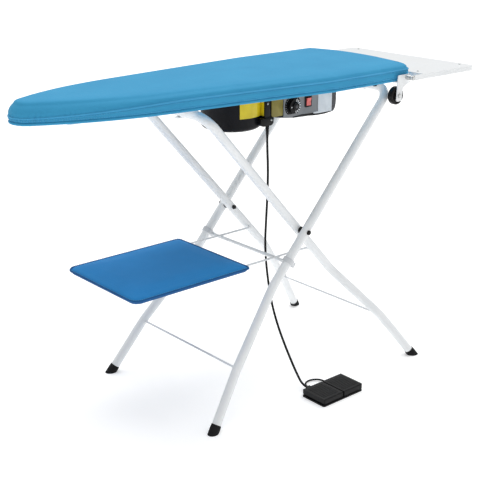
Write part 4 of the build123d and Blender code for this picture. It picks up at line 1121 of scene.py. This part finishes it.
def make_fan_drum():
    """Round fan housing under the pan with its inlet plate, duct and louvres."""
    middle = table_place(*drum_middle, drum_top_z)
    depth = drum_top_z - drum_low_z
    profile = [(core, 0), *drum_rim]
    for step in range(9):
        turn = step * pi / 16
        inset = drum_edge[0] * (1 - cos(turn))
        profile.append((drum_radius - inset, depth - drum_edge[1] * (1 - sin(turn))))
    profile += [(radius, depth - sunk) for radius, sunk in drum_well]
    drum = lathe_mesh("fan_drum", middle, down, profile, drum_sides)
    new_piece(drum, "table_top", "housing_plastic", replaced=("fan_housing",))
    duct = block_mesh("fan_duct", duct_low, duct_high, duct_bevel)
    new_piece(duct, "table_top", "housing_plastic")
    reach = drum_radius + flange_reach
    pan_low = pan_low_z / MM
    thick = pan_low - drum_top_z
    profile = [(core, 0), (reach - flange_edge, 0), (reach, flange_edge), (reach, thick), (core, thick)]
    flange = lathe_mesh("inlet_flange", table_place(*drum_middle, pan_low), down, profile, drum_sides)
    new_piece(flange, "table_top", "housing_plastic", replaced=("inlet_plate",))
    places = []
    for index in range(louvre_count):
        x = duct_high[0] - louvre_inset - louvre_pitch * index
        places.append((table_place(x, drum_middle[1], duct_low[2]), Vector((0, 1, 0)), down))
    repeat("duct_louvres", "bar", places, louvre_size, "table_top", "housing_plastic")


def make_drum_label():
    """Bare yellow film wrapped round the drum."""
    middle = table_place(*drum_middle, 0)
    inner = drum_radius - label_sunk
    outer = drum_radius + label_thickness
    corners = ((inner, yellow_low_z), (inner, yellow_high_z), (outer, yellow_high_z), (outer, yellow_low_z))
    points = []
    for step in range(yellow_steps + 1):
        turn = radians(yellow_turns[0] + (yellow_turns[1] - yellow_turns[0]) * step / yellow_steps)
        points += [middle + Vector((radius * cos(turn), radius * sin(turn), z)) * MM for radius, z in corners]
    mesh = mesh_of("drum_label", points, capped(yellow_steps + 1, len(corners)), sharp=True)
    new_piece(mesh, "table_top", "yellow_label", replaced=("yellow_plate",))


def make_cord_post():
    """Post with a rounded foot that carries the pedal lead's boot, and the unit's screw heads."""
    post = block_mesh("lead_post", post_low, post_high, post_bevel)
    new_piece(post, "table_top", "black_plastic", replaced=("cord_post",))
    outline = round_rectangle(foot_middle, foot_size, foot_corner, foot_upper_corner)
    new_piece(upright_mesh("post_foot", outline, foot_depth, foot_bevel), "table_top", "black_plastic")
    places = [(table_place(*place), Vector((1, 0, 0)), front) for place in screw_places]
    repeat("unit_screw_heads", "bead", places, screw_size,
           "table_top", "zinc_steel", replaced=("unit_screws",))


def make_panel_details():
    """The unit's belly and tail end, fitted to the photograph, and the bare labels at its front."""
    small_outline = round_rectangle(small_middle, small_size, label_corner, label_corner)
    for name, outline, depth, bevel, finish, slot, replaced in (
        ("unit_belly", belly_outline, belly_depth, belly_bevel, "box_paint", "", ()),
        ("belly_band", band_outline, band_depth, label_bevel, "box_paint", "", ()),
        ("unit_end", end_outline, end_depth, end_bevel, "dark_plastic", "", ("end_cap",)),
        ("panel_label", white_outline, white_depth, label_bevel, "white_label", "", ("white_plate",)),
        ("side_label", small_outline, small_depth, label_bevel, "small_label", "yellow_label",
         ("small_plate",)),
    ):
        new_piece(upright_mesh(name, outline, depth, bevel), "table_top", finish, slot, replaced)
    new_piece(block_mesh("label_flap", flap_low, flap_high, label_bevel), "table_top", "yellow_label")


def make_fan():
    """Fan wheel and motor inside the drum."""
    base = table_place(*fan_axis, fan_top_z)
    wheel = lathe_mesh("fan_wheel", base, down, fan_profile, fan_sides, fan_blades)
    new_piece(wheel, "fan", "black_plastic", replaced=("fan_impeller",))
    base = table_place(*fan_axis, motor_top_z)
    can = lathe_mesh("motor_can", base, down, motor_profile, motor_sides)
    new_piece(can, "table_top", "zinc_steel", replaced=("motor_body",))


# Feet, knob and small fittings

def make_foot_caps():
    """Short rubber caps on the tube ends, cut flat where they stand."""
    for body, line in foot_lines.items():
        caps = bmesh.new()
        for side in (1, -1):
            floor, bend = (table_place(x, side * y, z) for x, y, z in line)
            up = (bend - floor).normalized()
            mesh = lathe_mesh("cap", floor - up * cap_below * MM, up, cap_profile)
            caps.from_mesh(mesh)
            bpy.data.meshes.remove(mesh)
        geometry = caps.verts[:] + caps.edges[:] + caps.faces[:]
        cut = bmesh.ops.bisect_plane(
            caps, geom=geometry, plane_co=(0, 0, 0), plane_no=(0, 0, 1), clear_inner=True)
        edges = [item for item in cut["geom_cut"] if isinstance(item, bmesh.types.BMEdge)]
        bmesh.ops.edgeloop_fill(caps, edges=edges)
        bmesh.ops.recalc_face_normals(caps, faces=caps.faces)
        mesh = bpy.data.meshes.new(body + "_caps")
        caps.to_mesh(mesh)
        caps.free()
        mesh.set_sharp_from_angle(angle=sharp_angle)
        new_piece(mesh, body, "black_rubber", replaced=(body.replace("legs", "foot_caps"),))


def make_knob():
    """Thermostat knob: a broad disc with a fluted grip, white marks and a dark cap, over its dial."""
    base = table_place(knob_axis[0], knob_back_y, knob_axis[1])
    knob = lathe_mesh("heat_knob", base, front, knob_profile, knob_sides, knob_flutes)
    new_piece(knob, "knob", "black_plastic", replaced=("thermostat_knob",))

    def around(radius, turn, height):
        direction = Vector((cos(radians(turn)), 0, sin(radians(turn))))
        return base + (front * height + direction * radius) * MM, direction, front

    marks = [around(knob_mark_radius, turn, knob_disc) for turn in knob_mark_turns]
    marks.append(around(*knob_near_mark, knob_disc))
    repeat("knob_marks", "bar", marks, knob_mark_size, "knob", "white_print", "white_label")
    low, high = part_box("dial_ring")
    margin = dial_mark_size[0] * MM
    marks = []
    for index in range(dial_mark_count):
        turn = dial_mark_start - dial_mark_sweep * index / (dial_mark_count - 1)
        place = around(dial_mark_radius, turn, (base.y - low.y) / MM)
        if low.z + margin < place[0].z < high.z - margin:
            marks.append(place)
    repeat("dial_marks", "bar", marks, dial_mark_size, "table_top", "white_print", "white_label")
    cap = lathe_mesh("knob_cap", base + front * knob_height * MM, front, knob_cap_profile)
    new_piece(cap, "knob", "dark_plastic")


def make_recess_shade():
    """Dark bars on the heads of the unit's screws: painted shade where their cross recesses lie."""
    places = []
    for index, place in enumerate(screw_places):
        point = table_place(*place) + front * recess_shade_height * MM
        tilt = radians(recess_shade_tilt + recess_shade_turn * index)
        for turn in (tilt, tilt + pi / 2):
            places.append((point, Vector((cos(turn), 0, sin(turn))), front))
    # The bars lie flat on the heads, dark as painted shade of the sunk recesses.
    repeat("screw_recess_painted_shade", "bar", places, recess_shade_size, "table_top", "dark_plastic")


def make_welds():
    """Weld beads where the tie bars meet the bent tubes."""
    for body, bar in (("outer_legs", "outer_tie_bar"), ("inner_legs", "inner_tie_bar")):
        low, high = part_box(bar)
        middle = (low + high) / 2
        places = []
        for y, side in ((low.y, 1), (high.y, -1)):
            place = Vector((middle.x, y + side * weld_stand_off, middle.z))
            places.append((place, Vector((1, 0, 0)), Vector((0, side, 0))))
        repeat(body + "_welds", "ring", places, weld_size, body, "pale_enamel", unevenness=weld_unevenness)


def make_lead_boot():
    """Ribbed tapered sleeve that keeps the lead from kinking where it leaves the post."""
    top = Vector(pedal_cord_route[0]) - down * boot_overlap * MM
    profile = [(core, 0)]
    for rib in range(boot_ribs):
        for share, groove in boot_rib:
            reach = (rib + share) / boot_ribs
            radius = boot_top_radius + (boot_low_radius - boot_top_radius) * reach
            profile.append((radius - groove, reach * boot_length))
    profile += [(boot_low_radius, boot_length), (core, boot_length)]
    boot = lathe_mesh("lead_boot", top, down, profile)
    new_piece(boot, "table_top", "black_rubber", replaced=("cord_gland",))


def make_cord(name, route, diameter, node):
    """Free cord on one smooth curve through its route's points."""
    data = bpy.data.curves.new(name, "CURVE")
    data.dimensions = "3D"
    data.resolution_u = 12
    data.bevel_depth = diameter / 2
    data.bevel_resolution = 4
    data.use_fill_caps = True
    line = data.splines.new("NURBS")
    line.points.add(len(route) - 1)
    for point, place in zip(line.points, route):
        point.co = (*place, 1)
    line.order_u = 3
    line.use_endpoint_u = True
    cord = new_object(name, data)
    dress(cord, "table_top", "black_rubber", replaced=(node,))


make_camera()
make_room()
finishes = make_finishes()
make_cord("pedal_lead", pedal_cord_route, pedal_cord_diameter, "pedal_cord")
make_cord("link_lead", link_cord_route, link_cord_diameter, "link_cord")
paint_nodes()
outline = board_outline()
make_cover(outline)
make_cover_piping(outline)
make_cover_hem(outline)
shelf_path, shelf_edge_z = make_shelf_pad()
make_stitches(outline, shelf_path, shelf_edge_z)
make_fan_drum()
make_drum_label()
make_cord_post()
make_panel_details()
make_fan()
make_foot_caps()
make_knob()
make_recess_shade()
make_welds()
make_lead_boot()
